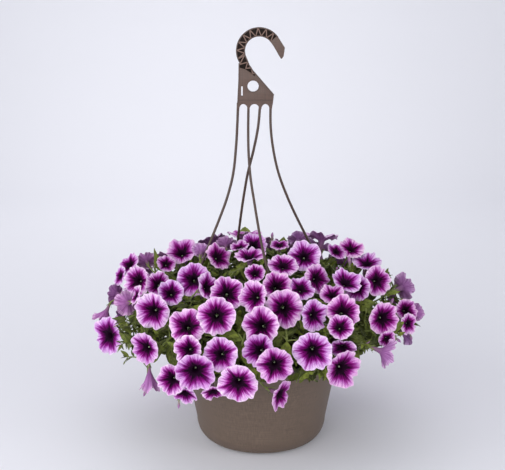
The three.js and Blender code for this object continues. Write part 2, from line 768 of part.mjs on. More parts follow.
// Each bloom moves along its line until it clears its neighbours, and none is left out
function settleBloom(bloom) {
  const rest = bloom.throat.clone();
  for (const size of BLOOM_SIZES) {
    for (const step of BLOOM_STEPS) {
      for (const lean of BLOOM_LEANS) {
        const throat = along(rest, bloom.push, step);
        const axis = lean === 0 ? bloom.axis : leaning(bloom, lean);
        const tried = { ...bloom, throat, axis, span: bloom.span * size };
        const head = loft([...bloomRings(tried), stubRing(tried)]);
        if (isClear(head)) {
          keep(head, `bloom ${bloom.index}`);
          return tried;
        }
      }
    }
  }
  console.error(`bloom ${bloom.index} finds no place`);
  return null;
}

// Room for the first of the pedicel, behind the tube
function stubRing(bloom) {
  const run = bloom.axis.clone().negate();
  const end = along(tubeEnd(bloom), run, STUB_LENGTH);
  return ringAt(end, run, squareTo(run, bloom.index), [PEDICEL_RADIUS], evenTurns(3));
}

function leaning(bloom, lean) {
  const sway = vec(...[0, 2, 4].map((salt) => chance(bloom.index, lean + salt) - 0.5));
  return along(bloom.axis, sway, BLOOM_LEAN).normalize();
}

// Sprays: the lowest bloom takes its nearest neighbours, and so on up the mound
function gatherSprays(blooms) {
  const waiting = [...blooms].sort((a, b) => a.throat.z - b.throat.z);
  const sprays = [];
  while (waiting.length > 0) {
    const first = waiting.shift();
    waiting.sort((a, b) => a.throat.distanceTo(first.throat) - b.throat.distanceTo(first.throat));
    const near = waiting.filter((bloom) => bloom.throat.distanceTo(first.throat) < SPRAY_REACH);
    const members = [first, ...near.slice(0, SPRAY_SIZE - 1)];
    members.slice(1).forEach((bloom) => waiting.splice(waiting.indexOf(bloom), 1));
    waiting.sort((a, b) => a.throat.z - b.throat.z);
    const middle = vec(0, 0, 0);
    members.forEach((bloom) => middle.addScaledVector(tubeEnd(bloom), 1 / members.length));
    sprays.push({ blooms: members, goal: middle });
  }
  return sprays;
}

function mixPlace(radius, turn) {
  return vec(radius * Math.cos(turn), radius * Math.sin(turn), MIX_CROWN_HEIGHT + ROOT_LIFT);
}

// Roots spread over the mix by the golden angle, and each plant takes the free one nearest its way
function rootPlaces(count) {
  return Array.from({ length: count }, (_, i) => {
    const radius = ROOT_CIRCLE * Math.sqrt((i + 0.5) / count);
    return mixPlace(radius, i * GOLDEN_ANGLE);
  });
}

function plantAll(plants) {
  const free = rootPlaces(plants.length);
  const fall = (plant) => Math.atan2(Math.hypot(plant.goal.x, plant.goal.y), plant.goal.z - ROOT_LEVEL);
  const order = [...plants].sort((a, b) => fall(b) - fall(a));
  order.forEach((plant, rank) => {
    const radius = ROOT_CIRCLE * Math.sqrt((order.length - rank - 0.5) / order.length);
    const turn = Math.atan2(plant.goal.y, plant.goal.x);
    const wish = mixPlace(radius, turn);
    free.sort((a, b) => a.distanceTo(wish) - b.distanceTo(wish));
    plant.root = free.shift();
  });
}

function isPastRim(point) {
  return Math.hypot(point.x, point.y) > POT_RIM_INNER - RIM_MARGIN;
}

// A stem rises from its hole, clears the rim where it passes it, and arches out to its goal
function stemPoints(root, goal, attempt, index, steps) {
  const sway = Math.min(attempt * STEM_SWAY.step, STEM_SWAY.most);
  const elbow = mix(root, goal, ELBOW_SHARE);
  elbow.z = isPastRim(goal) ? Math.max(goal.z, POT_HEIGHT) + RIM_ARCH : (root.z + goal.z) / 2 + ELBOW_LIFT;
  elbow.x += sway * (chance(index, attempt) - 0.5);
  elbow.y += sway * (chance(index, attempt + 50) - 0.5);
  elbow.z += sway * 0.6 * chance(index, attempt + 90);
  const curve = new THREE.QuadraticBezierCurve3(root, elbow, goal);
  const points = [vec(root.x, root.y, HOLE_FLOOR + CLEARANCE)];
  for (let i = 0; i <= steps; i += 1) points.push(curve.getPoint(i / steps));
  return points;
}

function stemSolid(points, radius) {
  return tube(points, points.map(() => radius), 3);
}

// The stem's points from its fork down to its root, and where the other pedicels join it
function sprayStem(spray, index, attempt) {
  const isEarly = attempt < USUAL_FORK.attempts;
  const share = isEarly ? USUAL_FORK.share : between(OTHER_FORK, chance(index, attempt + 500));
  const fork = mix(spray.goal, spray.root, share);
  if (isPastRim(fork)) fork.z = Math.max(fork.z, FORK_FLOOR);
  const sway = Math.min(attempt * FORK_SWAY.step, FORK_SWAY.most);
  fork.x += sway * (chance(index, attempt + 200) - 0.5);
  fork.y += sway * (chance(index, attempt + 300) - 0.5);
  fork.z += sway * (chance(index, attempt + 400) - 0.3);
  const stem = stemPoints(spray.root, fork, attempt, index, 3).reverse();
  const lower = mix(stem[0], stem[1], Math.min(0.5, JOINT_SPACE / stem[0].distanceTo(stem[1])));
  return { fork, stem, joints: JOINT_SHARES.map((part) => mix(fork, lower, part)) };
}

// A spray's stem and pedicels, led by each bloom in turn, until all of it clears what is there
function settleSpray(spray, index) {
  const owner = `spray ${index}`;
  for (let attempt = 0; attempt < STEM_ATTEMPTS; attempt += 1) {
    const { fork, stem, joints } = sprayStem(spray, index, attempt);
    const lead = attempt % spray.blooms.length;
    const members = [...spray.blooms.slice(lead), ...spray.blooms.slice(0, lead)];
    members.forEach((bloom) => {
      const sway = vec(...[0, 0.3, 0.6].map((salt) => chance(bloom.index, 600 + attempt + salt) - 0.5));
      bloom.sway = sway.multiplyScalar(Math.min(attempt, PEDICEL_SWAY));
    });
    if (!isClear(stemSolid(stem, STEM_RADIUS))) continue;
    const bends = members.map((bloom, i) => pedicelCurve(bloom, joints[i]).getPoint(PEDICEL_BEND));
    if (attempt < BEHIND_ATTEMPTS && bends.some(isOverBloom)) continue;
    const stalks = members.map((bloom, i) => {
      return loft([tubeEndRing(bloom), ...pedicelRings(bloom, joints[i])]);
    });
    if (!stalks.every((stalk, i) => isClear(stalk, `bloom ${members[i].index}`))) continue;
    const [leader, ...others] = members;
    const whole = [loft([...bloomRings(leader), ...leaderRings(leader, fork, stem)])];
    others.forEach((bloom, i) => {
      whole.push(loft([...bloomRings(bloom), ...pedicelRings(bloom, joints[i + 1])]));
    });
    const body = fuse(whole);
    if (!isSound(body)) continue;
    [stemSolid(stem, STEM_RADIUS), ...stalks].forEach((solid) => keep(solid, owner));
    return body;
  }
  console.error(`spray ${index} finds no way`);
  return null;
}

// A leaf: a folded blade, widest in its middle, on a short stalk that starts inside the stem
function leafSolid(base, way, face, length) {
  const side = way.clone().cross(face).normalize();
  const top = side.clone().cross(way).normalize();
  const ring = ({ share, half, droop }, thick) => {
    const middle = along(along(base, way, share * length), top, -droop * length);
    const fold = -LEAF_FOLD * half * length;
    return [
      along(middle, side, half * length),
      along(middle, top, fold - thick / 2),
      along(middle, side, -half * length),
      along(middle, top, fold + thick / 2),
    ];
  };
  return loft([
    [
      along(base, side, LEAF_ROOT),
      along(base, top, -LEAF_ROOT),
      along(base, side, -LEAF_ROOT),
    ],
    ring(LEAF_WIDEST, LEAF_THICK_BASE),
    ring(LEAF_SHOULDER, LEAF_THICK_TIP),
    [along(along(base, way, length), top, -LEAF_TIP_DROOP * length)],
  ]);
}

function settleShoot(shoot, index) {
  const owner = `shoot ${index}`;
  for (let attempt = 0; attempt < STEM_ATTEMPTS; attempt += 1) {
    const points = stemPoints(shoot.root, shoot.goal, attempt, index + 60, 4);
    const stem = stemSolid(points, STEM_RADIUS);
    if (!isClear(stem)) continue;
    keep(stem, owner);
    return settleLeaves(stem, points, owner, index);
  }
  console.error(`shoot ${index} finds no way`);
  return null;
}

function settleLeaves(stem, points, owner, index) {
  const line = new THREE.CurvePath();
  points.slice(2).forEach((point, i) => line.add(new THREE.LineCurve3(points[i + 1], point)));
  let body = stem;
  for (let i = 0; i < LEAVES_PER_SHOOT; i += 1) {
    const share = LEAF_TOP_SHARE - LEAFY_SHARE * i / LEAVES_PER_SHOOT;
    body = addLeaf(body, line.getPointAt(share), line.getTangentAt(share), i, index, owner);
  }
  return body;
}

// Whether a point hides the middle of a bloom that the photograph shows
function isOverBloom(point) {
  const line = point.clone().sub(CAMERA);
  return blooms.some((bloom) => {
    const sight = bloom.throat.clone().sub(CAMERA);
    if (bloom.index >= FIRST_HIDDEN || line.length() > sight.length()) return false;
    return sight.cross(line).length() / line.length() < LEAF_BARE_SHARE * bloom.span;
  });
}

// A leaf turns round its stem, and shrinks a little, until it clears what is there
function addLeaf(body, base, run, place, index, owner) {
  const outward = moundNormal(base);
  for (const size of LEAF_SIZES) {
    for (let attempt = 0; attempt < LEAF_TURNS; attempt += 1) {
      const turn = place * GOLDEN_ANGLE + attempt * 2 * Math.PI / LEAF_TURNS + index;
      const side = squareTo(run, 0).applyAxisAngle(run, turn);
      const spread = along(run.clone().multiplyScalar(LEAF_WAY.up), side, LEAF_WAY.side);
      const way = along(spread, outward, LEAF_WAY.out).normalize();
      const length = LEAF_LENGTH * size * between(LEAF_SIZE, chance(index * 20 + place, 6));
      if ([0.5, 1].some((share) => isOverBloom(along(base, way, share * length)))) continue;
      const leaf = leafSolid(along(base, way, -LEAF_SINK), way, outward, length);
      if (!isClear(leaf, owner)) continue;
      const grown = fuse([body, leaf]);
      if (!isSound(grown)) continue;
      keep(leaf, `leaf ${index} ${place}`);
      return grown;
    }
  }
  return body;
}

// The shoots' goals: where leaves show between the blooms, and by rule round the hidden side
function shootGoals() {
  const seen = SEEN_SHOOTS.map(([x, y]) => onMound(x, y, SHOOT_LEVEL));
  const hidden = [];
  for (let i = 0; i < WHOLE_SHOOTS && hidden.length < HIDDEN_SHOOTS; i += 1) {
    const rise = 1 - (i + 0.5) / WHOLE_SHOOTS * SHOOT_RANGE;
    const round = SHOOT_LEVEL * Math.sqrt(1 - rise * rise);
    const turn = i * GOLDEN_ANGLE + 1;
    const height = rise > 0 ? MOUND_RISE : MOUND_FALL;
    const goal = vec(
      MOUND_RADIUS * round * Math.cos(turn),
      MOUND_RADIUS * round * Math.sin(turn),
      MOUND_CENTRE_Z + SHOOT_LEVEL * height * rise,
    );
    if (moundNormal(goal).dot(TO_CAMERA) < SHOOTS_FROM) hidden.push(goal);
  }
  return [...seen, ...hidden].map((goal) => ({ goal }));
}

const twoFigures = (number) => String(number).padStart(2, '0');

const hook = buildHook();
const strands = STRANDS.map(buildStrand);
const pot = buildPot();
const holders = [hook, ...strands, pot];
holders.forEach((solid) => keep(solid, 'holder'));
keep(buildMix([]), 'mix');

const seen = seenBlooms();
const wished = [...seen, ...hiddenBlooms(seen)];
const blooms = wished.map(settleBloom).filter(Boolean);
placed.length = holders.length;
blooms.forEach((bloom) => keep(loft(bloomRings(bloom)), `bloom ${bloom.index}`));

const sprays = gatherSprays(blooms);
const shoots = shootGoals();
plantAll([...sprays, ...shoots]);
const sprayBodies = sprays.map(settleSpray);
const shootBodies = shoots.map(settleShoot);

addPiece('pot', pot, MATERIALS.pot);
addPiece('potting_mix', buildMix([...sprays, ...shoots].map((plant) => plant.root)), MATERIALS.mix);
addPiece('hanger_hook', hook, MATERIALS.hanger);
STRANDS.forEach((strand, i) => addPiece(`hanger_strand_${strand.side}`, strands[i], MATERIALS.hanger));
sprayBodies.forEach((body, i) => {
  if (body) addPiece(`flower_spray_${twoFigures(i + 1)}`, body, MATERIALS.petal);
});
shootBodies.forEach((body, i) => {
  if (body) addPiece(`leafy_shoot_${twoFigures(i + 1)}`, body, MATERIALS.leaf);
});

export default basket;
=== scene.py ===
"""Petunia hanging basket: fine petals, leaves, pot, mix and hanger, dressed over the basket's own solids."""

import functools
import math
import random

import bmesh
import bpy
import numpy as np
from mathutils import Matrix, Vector, noise


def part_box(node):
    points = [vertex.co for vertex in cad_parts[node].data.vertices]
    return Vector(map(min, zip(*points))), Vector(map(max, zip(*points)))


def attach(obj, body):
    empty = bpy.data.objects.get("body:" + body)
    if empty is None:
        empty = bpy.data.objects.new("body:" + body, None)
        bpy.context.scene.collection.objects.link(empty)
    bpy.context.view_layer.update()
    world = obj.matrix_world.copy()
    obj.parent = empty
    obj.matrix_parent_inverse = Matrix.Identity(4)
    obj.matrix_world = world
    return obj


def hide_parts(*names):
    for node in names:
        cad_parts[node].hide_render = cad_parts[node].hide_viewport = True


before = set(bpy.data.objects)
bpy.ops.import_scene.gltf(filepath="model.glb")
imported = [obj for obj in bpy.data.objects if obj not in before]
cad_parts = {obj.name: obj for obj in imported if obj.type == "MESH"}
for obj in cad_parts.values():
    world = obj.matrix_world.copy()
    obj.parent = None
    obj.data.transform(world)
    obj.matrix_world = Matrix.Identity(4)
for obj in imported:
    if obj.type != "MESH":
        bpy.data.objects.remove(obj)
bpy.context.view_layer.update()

bl_info = {
    "name": "Petunia Hanging Basket",
    "version": (1, 0, 0),
    "blender": (4, 5, 0),
    "location": "3D View > Sidebar > Basket",
    "description": "Builds a moulded hanging pot full of trailing petunias, with its hanger",
    "category": "Add Mesh",
}

MM = 0.001
BODY = "root"

# The photograph's view
VIEW_TILT = math.radians(15)
VIEW_DISTANCE = 2.0
VIEW_LIFT = 0.3152
VIEW_SHIFT = -0.0136
VIEW_ANGLE = math.radians(22.84)
PIXEL = 1.6 * MM
PICTURE_AXIS_X = 261
PICTURE_BASE_Y = 432
TO_CAMERA = Vector((0, -math.cos(VIEW_TILT), math.sin(VIEW_TILT)))
PICTURE_UP = Vector((0, math.sin(VIEW_TILT), math.cos(VIEW_TILT)))

# Shares of a bloom's span that its solid keeps
THROAT_RADIUS = 0.1
THROAT_DEPTH = 0.22
TUBE_LENGTH = 0.5
LOBES = 5

# Sizes that the solids of leaves and stems keep
LEAF_FOLD_TIP = 1.3 * MM
LEAF_FOLD_SHARE = 0.76
LEAF_HALF_TIP = 0.19
SOLID_LEAF_WIDTH = 0.85
PEDICEL_SIDE = 1.5 * math.sqrt(3) * MM
STEM_SIDE = 2.1 * math.sqrt(3) * MM
MERGE = 0.004 * MM
FIT = 0.03 * MM

# Where the solid of a leaf droops, and how far its tip lies past its shoulder, as shares of its length
LEAF_TIP_BEYOND = 0.25
LEAF_TIP_DROOP = 0.07
LEAF_SHOULDER_DROOP = 0.03
LEAF_FIT = 0.01

# The mound that the throats lie on
MOUND_CENTRE = Vector((0, 0, 0.178))
MOUND_RADIUS = 0.232
MOUND_RISE = 0.128
MOUND_FALL = 0.112
GOLDEN_ANGLE = math.pi * (3 - math.sqrt(5))

POT_LOW, POT_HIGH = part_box("pot")
RIM_RADIUS = (POT_HIGH[0] - POT_LOW[0]) / 2
POT_HEIGHT = POT_HIGH[2]


def linear(red, green, blue):
    """A colour seen on a screen, 0 to 255, as the light it stands for."""
    shares = []
    for level in (red, green, blue):
        share = level / 255
        shares.append(share / 12.92 if share <= 0.04045 else ((share + 0.055) / 1.055) ** 2.4)
    return (*shares, 1.0)


def shaded(colour, share):
    """A colour made that much lighter or darker."""
    return (*[min(part * share, 1) for part in tuple(colour)[:3]], 1)


# Settings that a user would change

class BasketPotSettings(bpy.types.PropertyGroup):
    colour: bpy.props.FloatVectorProperty(
        name="Plastic", description="Colour of the moulded pot", subtype="COLOR", size=4,
        min=0, max=1, default=linear(97, 82, 71))
    roughness: bpy.props.FloatProperty(
        name="Roughness", description="How matt the plastic is", default=0.52, min=0, max=1, subtype="FACTOR")
    foot_line: bpy.props.FloatProperty(
        name="Foot line", description="Height of the groove above the foot", default=0.0068, unit="LENGTH")
    sides: bpy.props.IntProperty(name="Sides", description="Facets round the pot", default=128, min=24)


class BasketMixSettings(bpy.types.PropertyGroup):
    colour: bpy.props.FloatVectorProperty(
        name="Mix", description="Colour of the damp potting mix", subtype="COLOR", size=4,
        min=0, max=1, default=linear(58, 42, 32))
    lump: bpy.props.FloatProperty(
        name="Lumps", description="How far the surface rises and falls", default=0.0024, unit="LENGTH")
    chips: bpy.props.IntProperty(name="Chips", description="Bits of bark on top", default=150, min=0)


class BasketHangerSettings(bpy.types.PropertyGroup):
    colour: bpy.props.FloatVectorProperty(
        name="Plastic", description="Colour of the moulded hanger", subtype="COLOR", size=4,
        min=0, max=1, default=linear(85, 66, 58))
    roughness: bpy.props.FloatProperty(
        name="Roughness", description="How matt the plastic is", default=0.46, min=0, max=1, subtype="FACTOR")
    rib_count: bpy.props.IntProperty(name="Ribs", description="Legs of the hook's zigzag", default=15, min=3)
    rim_width: bpy.props.FloatProperty(
        name="Rim", description="Width of the hook's raised edge", default=0.0017, unit="LENGTH")
    # Painted shade: the raised edges are a darker copy of the same plastic, standing in for the shade that
    # falls on them
    edge_painted_shade: bpy.props.FloatProperty(
        name="Edge shade", description="How light the raised edges are beside the plate", default=0.78, min=0)
    # Painted shade: the hook's recess is a much darker copy of the same plastic, standing in for the shade
    # that fills it
    recess_painted_shade: bpy.props.FloatProperty(
        name="Recess shade", description="How light the recess is beside the plate", default=0.12, min=0)
    # Painted highlight: the zigzag ribs are a much lighter copy of the same plastic, standing in for the
    # light that catches them
    rib_painted_highlight: bpy.props.FloatProperty(
        name="Rib shade", description="How light the zigzag ribs are beside the plate", default=1.9, min=0)
    # Painted shade: the strands and their clips are a darker copy of the same plastic as the hook
    strand_painted_shade: bpy.props.FloatProperty(
        name="Strand shade", description="How light the strands are beside the plate", default=0.72, min=0)


class BasketBloomSettings(bpy.types.PropertyGroup):
    rim: bpy.props.FloatVectorProperty(
        name="Edge", description="Palest colour, at the petals' edge", subtype="COLOR", size=4,
        min=0, max=1, default=linear(249, 228, 247))
    outer: bpy.props.FloatVectorProperty(
        name="Outer", description="Lilac of the outer petals", subtype="COLOR", size=4,
        min=0, max=1, default=linear(228, 170, 228))
    middle: bpy.props.FloatVectorProperty(
        name="Middle", description="Magenta that the star fades through", subtype="COLOR", size=4,
        min=0, max=1, default=linear(152, 34, 138))
    star: bpy.props.FloatVectorProperty(
        name="Star", description="Dark purple of the star", subtype="COLOR", size=4,
        min=0, max=1, default=linear(118, 4, 102))
    throat: bpy.props.FloatVectorProperty(
        name="Throat", description="Near black of the throat", subtype="COLOR", size=4,
        min=0, max=1, default=linear(28, 0, 26))
    back: bpy.props.FloatVectorProperty(
        name="Back", description="Mauve of the petals' backs", subtype="COLOR", size=4,
        min=0, max=1, default=linear(184, 132, 190))
    vein: bpy.props.FloatVectorProperty(
        name="Veins", description="Purple that the fine veins are washed with", subtype="COLOR", size=4,
        min=0, max=1, default=linear(172, 108, 176))
    ruffle: bpy.props.FloatProperty(
        name="Ruffle", description="Waves of the edge, as a share of the span", default=0.032, min=0, max=0.1)
    thickness: bpy.props.FloatProperty(
        name="Thickness", description="Thickness of a petal", default=0.00045, unit="LENGTH")


class BasketLeafSettings(bpy.types.PropertyGroup):
    old: bpy.props.FloatVectorProperty(
        name="Old leaves", description="Colour of the older leaves", subtype="COLOR", size=4,
        min=0, max=1, default=linear(48, 56, 22))
    young: bpy.props.FloatVectorProperty(
        name="Young leaves", description="Colour of the newest leaves", subtype="COLOR", size=4,
        min=0, max=1, default=linear(142, 156, 62))
    length: bpy.props.FloatProperty(
        name="Length", description="Usual length of an added leaf", default=0.027, unit="LENGTH")
    twigs: bpy.props.IntProperty(
        name="Twigs", description="Leafy twigs tried over the mound", default=640, min=0)


class BasketStageSettings(bpy.types.PropertyGroup):
    floor: bpy.props.FloatVectorProperty(
        name="Floor", description="Colour of the pale sweep", subtype="COLOR", size=4,
        min=0, max=1, default=linear(232, 232, 238))
    overhead: bpy.props.FloatProperty(
        name="Overhead", description="Power of the overhead light", default=10, min=0, unit="POWER")
    left: bpy.props.FloatProperty(
        name="Left", description="Power of the light from the left", default=18, min=0, unit="POWER")
    front: bpy.props.FloatProperty(
        name="Front", description="Power of the front light", default=39, min=0, unit="POWER")
    right: bpy.props.FloatProperty(
        name="Right", description="Power of the light from the right", default=20, min=0, unit="POWER")
    backdrop: bpy.props.FloatProperty(
        name="Backdrop", description="Power of the light on the backdrop", default=4.5, min=0, unit="POWER")
    world: bpy.props.FloatProperty(name="World", description="Light from all round", default=0.52, min=0)


# Materials, one node at a time

VEIN_PAIRS = 9
PETAL_ROUGHNESS = 0.75
PETAL_GLOSS = 0.08


class Finish:
    """A material and the nodes that make it."""

    def __init__(self, name):
        self.material = bpy.data.materials.new(name)
        self.material.use_nodes = True
        self.nodes = self.material.node_tree.nodes
        self.links = self.material.node_tree.links
        self.shader = self.nodes["Principled BSDF"]

    def node(self, kind, **settings):
        """A new node with these settings."""
        made = self.nodes.new(kind)
        for name, value in settings.items():
            setattr(made, name, value)
        return made

    def feed(self, socket, value):
        """Links a socket to another node's, or sets its value."""
        if isinstance(value, bpy.types.NodeSocket):
            self.links.new(value, socket)
        else:
            socket.default_value = value

    def math(self, operation, first, second=0.0, clamp=False):
        """A sum of one or two values."""
        made = self.node("ShaderNodeMath", operation=operation, use_clamp=clamp)
        self.feed(made.inputs[0], first)
        self.feed(made.inputs[1], second)
        return made.outputs[0]

    def plus(self, first, second):
        """Both values added up."""
        return self.math("ADD", first, second)

    def minus(self, first, second):
        """The first value less the second."""
        return self.math("SUBTRACT", first, second)

    def times(self, first, second):
        """One value multiplied by the other."""
        return self.math("MULTIPLY", first, second)

    def ramp(self, value, low, high, start=0.0, end=1.0):
        """A smooth step from start to end as the value goes from low to high."""
        made = self.node("ShaderNodeMapRange", interpolation_type="SMOOTHSTEP")
        for place, given in enumerate((value, low, high, start, end)):
            self.feed(made.inputs[place], given)
        return made.outputs[0]

    def blend(self, share, first, second, mode="MIX"):
        """The first colour with that share of the second mixed in."""
        made = self.node("ShaderNodeMix", data_type="RGBA", blend_type=mode)
        self.feed(made.inputs["Factor"], share)
        self.feed(made.inputs[6], first)
        self.feed(made.inputs[7], second)
        return made.outputs[2]

    def bands(self, value, stops):
        """A run of colours, each at its share of the way."""
        made = self.node("ShaderNodeValToRGB")
        self.links.new(value, made.inputs["Fac"])
        marks = made.color_ramp.elements
        while len(marks) < len(stops):
            marks.new(0.5)
        for mark, (share, colour) in zip(marks, stops):
            mark.position = share
            mark.color = colour
        return made.outputs["Color"]

    def place(self, stretch=(1, 1, 1)):
        """Where a point lies on the object, stretched along each axis."""
        coordinates = self.node("ShaderNodeTexCoord")
        mapping = self.node("ShaderNodeMapping")
        mapping.inputs["Scale"].default_value = stretch
        self.links.new(coordinates.outputs["Object"], mapping.inputs["Vector"])
        return mapping.outputs["Vector"]

    def noise(self, vector, scale, detail=3.0, rough=0.55):
        """Clouds, finer with a larger scale and more detail."""
        made = self.node("ShaderNodeTexNoise")
        self.links.new(vector, made.inputs["Vector"])
        made.inputs["Scale"].default_value = scale
        made.inputs["Detail"].default_value = detail
        made.inputs["Roughness"].default_value = rough
        return made.outputs["Fac"]

    def bump(self, height, strength, distance):
        """Relief that the light catches."""
        made = self.node("ShaderNodeBump")
        made.inputs["Strength"].default_value = strength
        made.inputs["Distance"].default_value = distance
        self.links.new(height, made.inputs["Height"])
        self.links.new(made.outputs["Normal"], self.shader.inputs["Normal"])

    def map_axes(self, name):
        """The two axes of a map that was painted on the mesh."""
        made = self.node("ShaderNodeUVMap", uv_map=name)
        split = self.node("ShaderNodeSeparateXYZ")
        self.links.new(made.outputs["UV"], split.inputs[0])
        return split.outputs[0], split.outputs[1]

    def attribute(self, name):
        """A number that the mesh carries."""
        return self.node("ShaderNodeAttribute", attribute_name=name).outputs["Fac"]

    def vector(self, x, y, z):
        """Three values as one place."""
        made = self.node("ShaderNodeCombineXYZ")
        for place, given in enumerate((x, y, z)):
            self.feed(made.inputs[place], given)
        return made.outputs[0]

    def colour(self, value):
        """Sets the shader's own colour."""
        self.feed(self.shader.inputs["Base Color"], value)

    def set(self, **values):
        """Sets constant numbers on the shader's own sockets."""
        for name, value in values.items():
            self.shader.inputs[name.replace("_", " ")].default_value = value


def moulded_plastic(name, settings, brushed, shade=1.0, gloss=0.42):
    """Moulded plastic with a fine brushed grain, faint blotches and pale scuffs."""
    finish = Finish(name)
    upright = finish.noise(finish.place((1, 1, 0.06)), 620, 4)
    level = finish.noise(finish.place((0.05, 0.05, 1)), 900, 4)
    blotch = finish.noise(finish.place(), 26, 5)
    speck = finish.noise(finish.place(), 1500, 2)
    # The shade share makes lighter and darker copies of one plastic: painted shade on the hanger's edges,
    # recess and strands, and painted highlight on its ribs; it is 1 for the pot and the plate
    base = shaded(settings.colour, shade)
    dark, pale = shaded(base, 0.74), shaded(base, 1.3)
    grain = finish.plus(finish.times(upright, 0.5), finish.times(level, 0.5))
    body = finish.blend(finish.ramp(grain, 0.36, 0.64), dark, pale)
    body = finish.blend(finish.ramp(blotch, 0.3, 0.75, 0.25, 0.8), body, base)
    scuff = finish.ramp(speck, 0.66, 0.78, 0, 0.3)
    finish.colour(finish.blend(scuff, body, pale))
    rough = finish.ramp(grain, 0.3, 0.7, settings.roughness - 0.07, settings.roughness + 0.1)
    finish.feed(finish.shader.inputs["Roughness"], rough)
    finish.bump(finish.plus(grain, finish.times(speck, 0.3)), brushed, 0.25 * MM)
    finish.set(Specular_IOR_Level=gloss)
    return finish.material


def damp_mix(settings):
    """Peat and bark, with a few pale grains."""
    finish = Finish("potting_mix")
    coarse = finish.noise(finish.place(), 160, 6, 0.7)
    fine = finish.noise(finish.place(), 900, 4, 0.7)
    base = tuple(settings.colour)
    body = finish.blend(finish.ramp(coarse, 0.35, 0.65), shaded(base, 0.35), base)
    body = finish.blend(finish.ramp(fine, 0.7, 0.76), body, linear(150, 138, 118))
    finish.colour(body)
    finish.bump(finish.plus(coarse, fine), 0.8, 1.5 * MM)
    finish.set(Roughness=0.92, Specular_IOR_Level=0.25)
    return finish.material


def petal_marks(finish):
    """Where a point of a petal lies: how far out, how near a midrib, and in which rays and crinkles."""
    around, out = finish.map_axes("petal")
    tone = finish.attribute("tone")
    shifted = finish.math("FRACT", finish.plus(around, 0.5))
    rib = finish.times(finish.math("ABSOLUTE", finish.minus(shifted, 0.5)), 2)

    def lines(count, run, salt, detail):
        """Uneven lines that run outwards, so many to a lobe."""
        place = finish.vector(finish.times(around, count), finish.times(out, run), finish.times(tone, salt))
        return finish.noise(place, 1, detail, 0.6)

    wander = finish.noise(finish.vector(around, out, tone), 5, 2)
    # Veins leave the midrib and lean outwards, as on a feather
    lean = finish.times(finish.math("POWER", rib, 1.25), 0.62)
    run = finish.minus(out, lean)
    run = finish.plus(run, finish.times(wander, 0.09))
    wave = finish.math("ABSOLUTE", finish.math("COSINE", finish.times(run, VEIN_PAIRS * math.pi)))
    return {
        "rib": rib, "out": out, "tone": tone,
        "ray": finish.ramp(lines(9, 1.2, 9, 4), 0.32, 0.68),
        "thread": finish.ramp(lines(13, 0.9, 31, 3), 0.47, 0.6),
        "crinkle": finish.ramp(lines(11, 7, 17, 3), 0.34, 0.66),
        "vein": finish.math("POWER", wave, 8),
        "midrib": finish.ramp(rib, 0.02, 0.1, 1, 0),
    }


def tinted(finish, body, tone):
    """Some blooms a little deeper, some pinker and some bluer."""
    depth = finish.math("FRACT", finish.times(tone, 29))
    body = finish.blend(finish.ramp(depth, 0.5, 1.0, 0, 0.65), body, (0.82, 0.66, 0.8, 1), "MULTIPLY")
    lot = finish.math("FRACT", finish.times(tone, 17))
    body = finish.blend(finish.ramp(lot, 0.55, 1.0, 0, 0.45), body, (1.0, 0.84, 0.9, 1), "MULTIPLY")
    return finish.blend(finish.ramp(lot, 0.0, 0.45, 0.45, 0), body, (0.82, 0.8, 1.0, 1), "MULTIPLY")


def star_level(finish, marks):
    """How far out a point lies, less where an arm or a feather of the star reaches out."""
    arm = finish.minus(1, marks["rib"])
    arm = finish.times(finish.math("POWER", arm, 4), 0.26)
    feather = finish.times(finish.minus(marks["ray"], 0.5), 0.24)
    own = finish.times(finish.minus(marks["tone"], 0.5), 0.1)
    reach = finish.plus(finish.plus(arm, feather), finish.plus(own, 0.12))
    return finish.math("SUBTRACT", marks["out"], reach, clamp=True)


def veined(finish, marks, level, body, vein):
    """The petals' face with painted shade in its crinkles, fine threads, side veins and midribs."""
    out = marks["out"]
    # Painted shade: patches darkened where the petal crinkles, standing in for the shade of its folds
    fold_painted_shade = finish.times(marks["crinkle"], finish.ramp(out, 0.4, 0.7, 0, 0.28))
    body = finish.blend(fold_painted_shade, body, linear(168, 100, 176))
    threads = finish.times(marks["thread"], finish.ramp(out, 0.45, 1.0, 0.75, 0.42))
    body = finish.blend(threads, body, vein, "MULTIPLY")
    lines = finish.times(marks["vein"], finish.ramp(out, 0.4, 1.0, 0.45, 0.25))
    body = finish.blend(lines, body, vein, "MULTIPLY")
    rib = finish.times(marks["midrib"], finish.ramp(out, 0.6, 0.96, 0.85, 0.15))
    rib = finish.times(rib, finish.ramp(level, 0.22, 0.4))
    return finish.blend(rib, body, linear(134, 20, 108))


def petal_face(settings):
    """The petals' face: near-black throat, a five-armed purple star, veined lilac and a pale edge."""
    finish = Finish("petal_face")
    marks = petal_marks(finish)
    level = star_level(finish, marks)
    body = finish.bands(level, (
        (0.0, tuple(settings.throat)), (0.04, linear(74, 0, 66)), (0.14, linear(94, 0, 82)),
        (0.25, tuple(settings.star)), (0.34, tuple(settings.middle)), (0.44, linear(190, 102, 186)),
        (0.57, tuple(settings.outer)), (0.84, tuple(settings.rim))))
    body = veined(finish, marks, level, body, tuple(settings.vein))
    edge = finish.ramp(marks["out"], 0.9, 1.0, 0, 0.4)
    body = finish.blend(edge, body, tuple(settings.rim))
    deep = finish.ramp(marks["out"], -0.02, 0.2, 1, 0)
    body = finish.blend(deep, body, tuple(settings.throat))
    finish.colour(tinted(finish, body, marks["tone"]))
    height = finish.plus(marks["thread"], finish.times(marks["crinkle"], 1.2))
    finish.bump(finish.times(height, -1), 0.5, 0.5 * MM)
    finish.set(Roughness=PETAL_ROUGHNESS, Specular_IOR_Level=PETAL_GLOSS)
    return finish.material


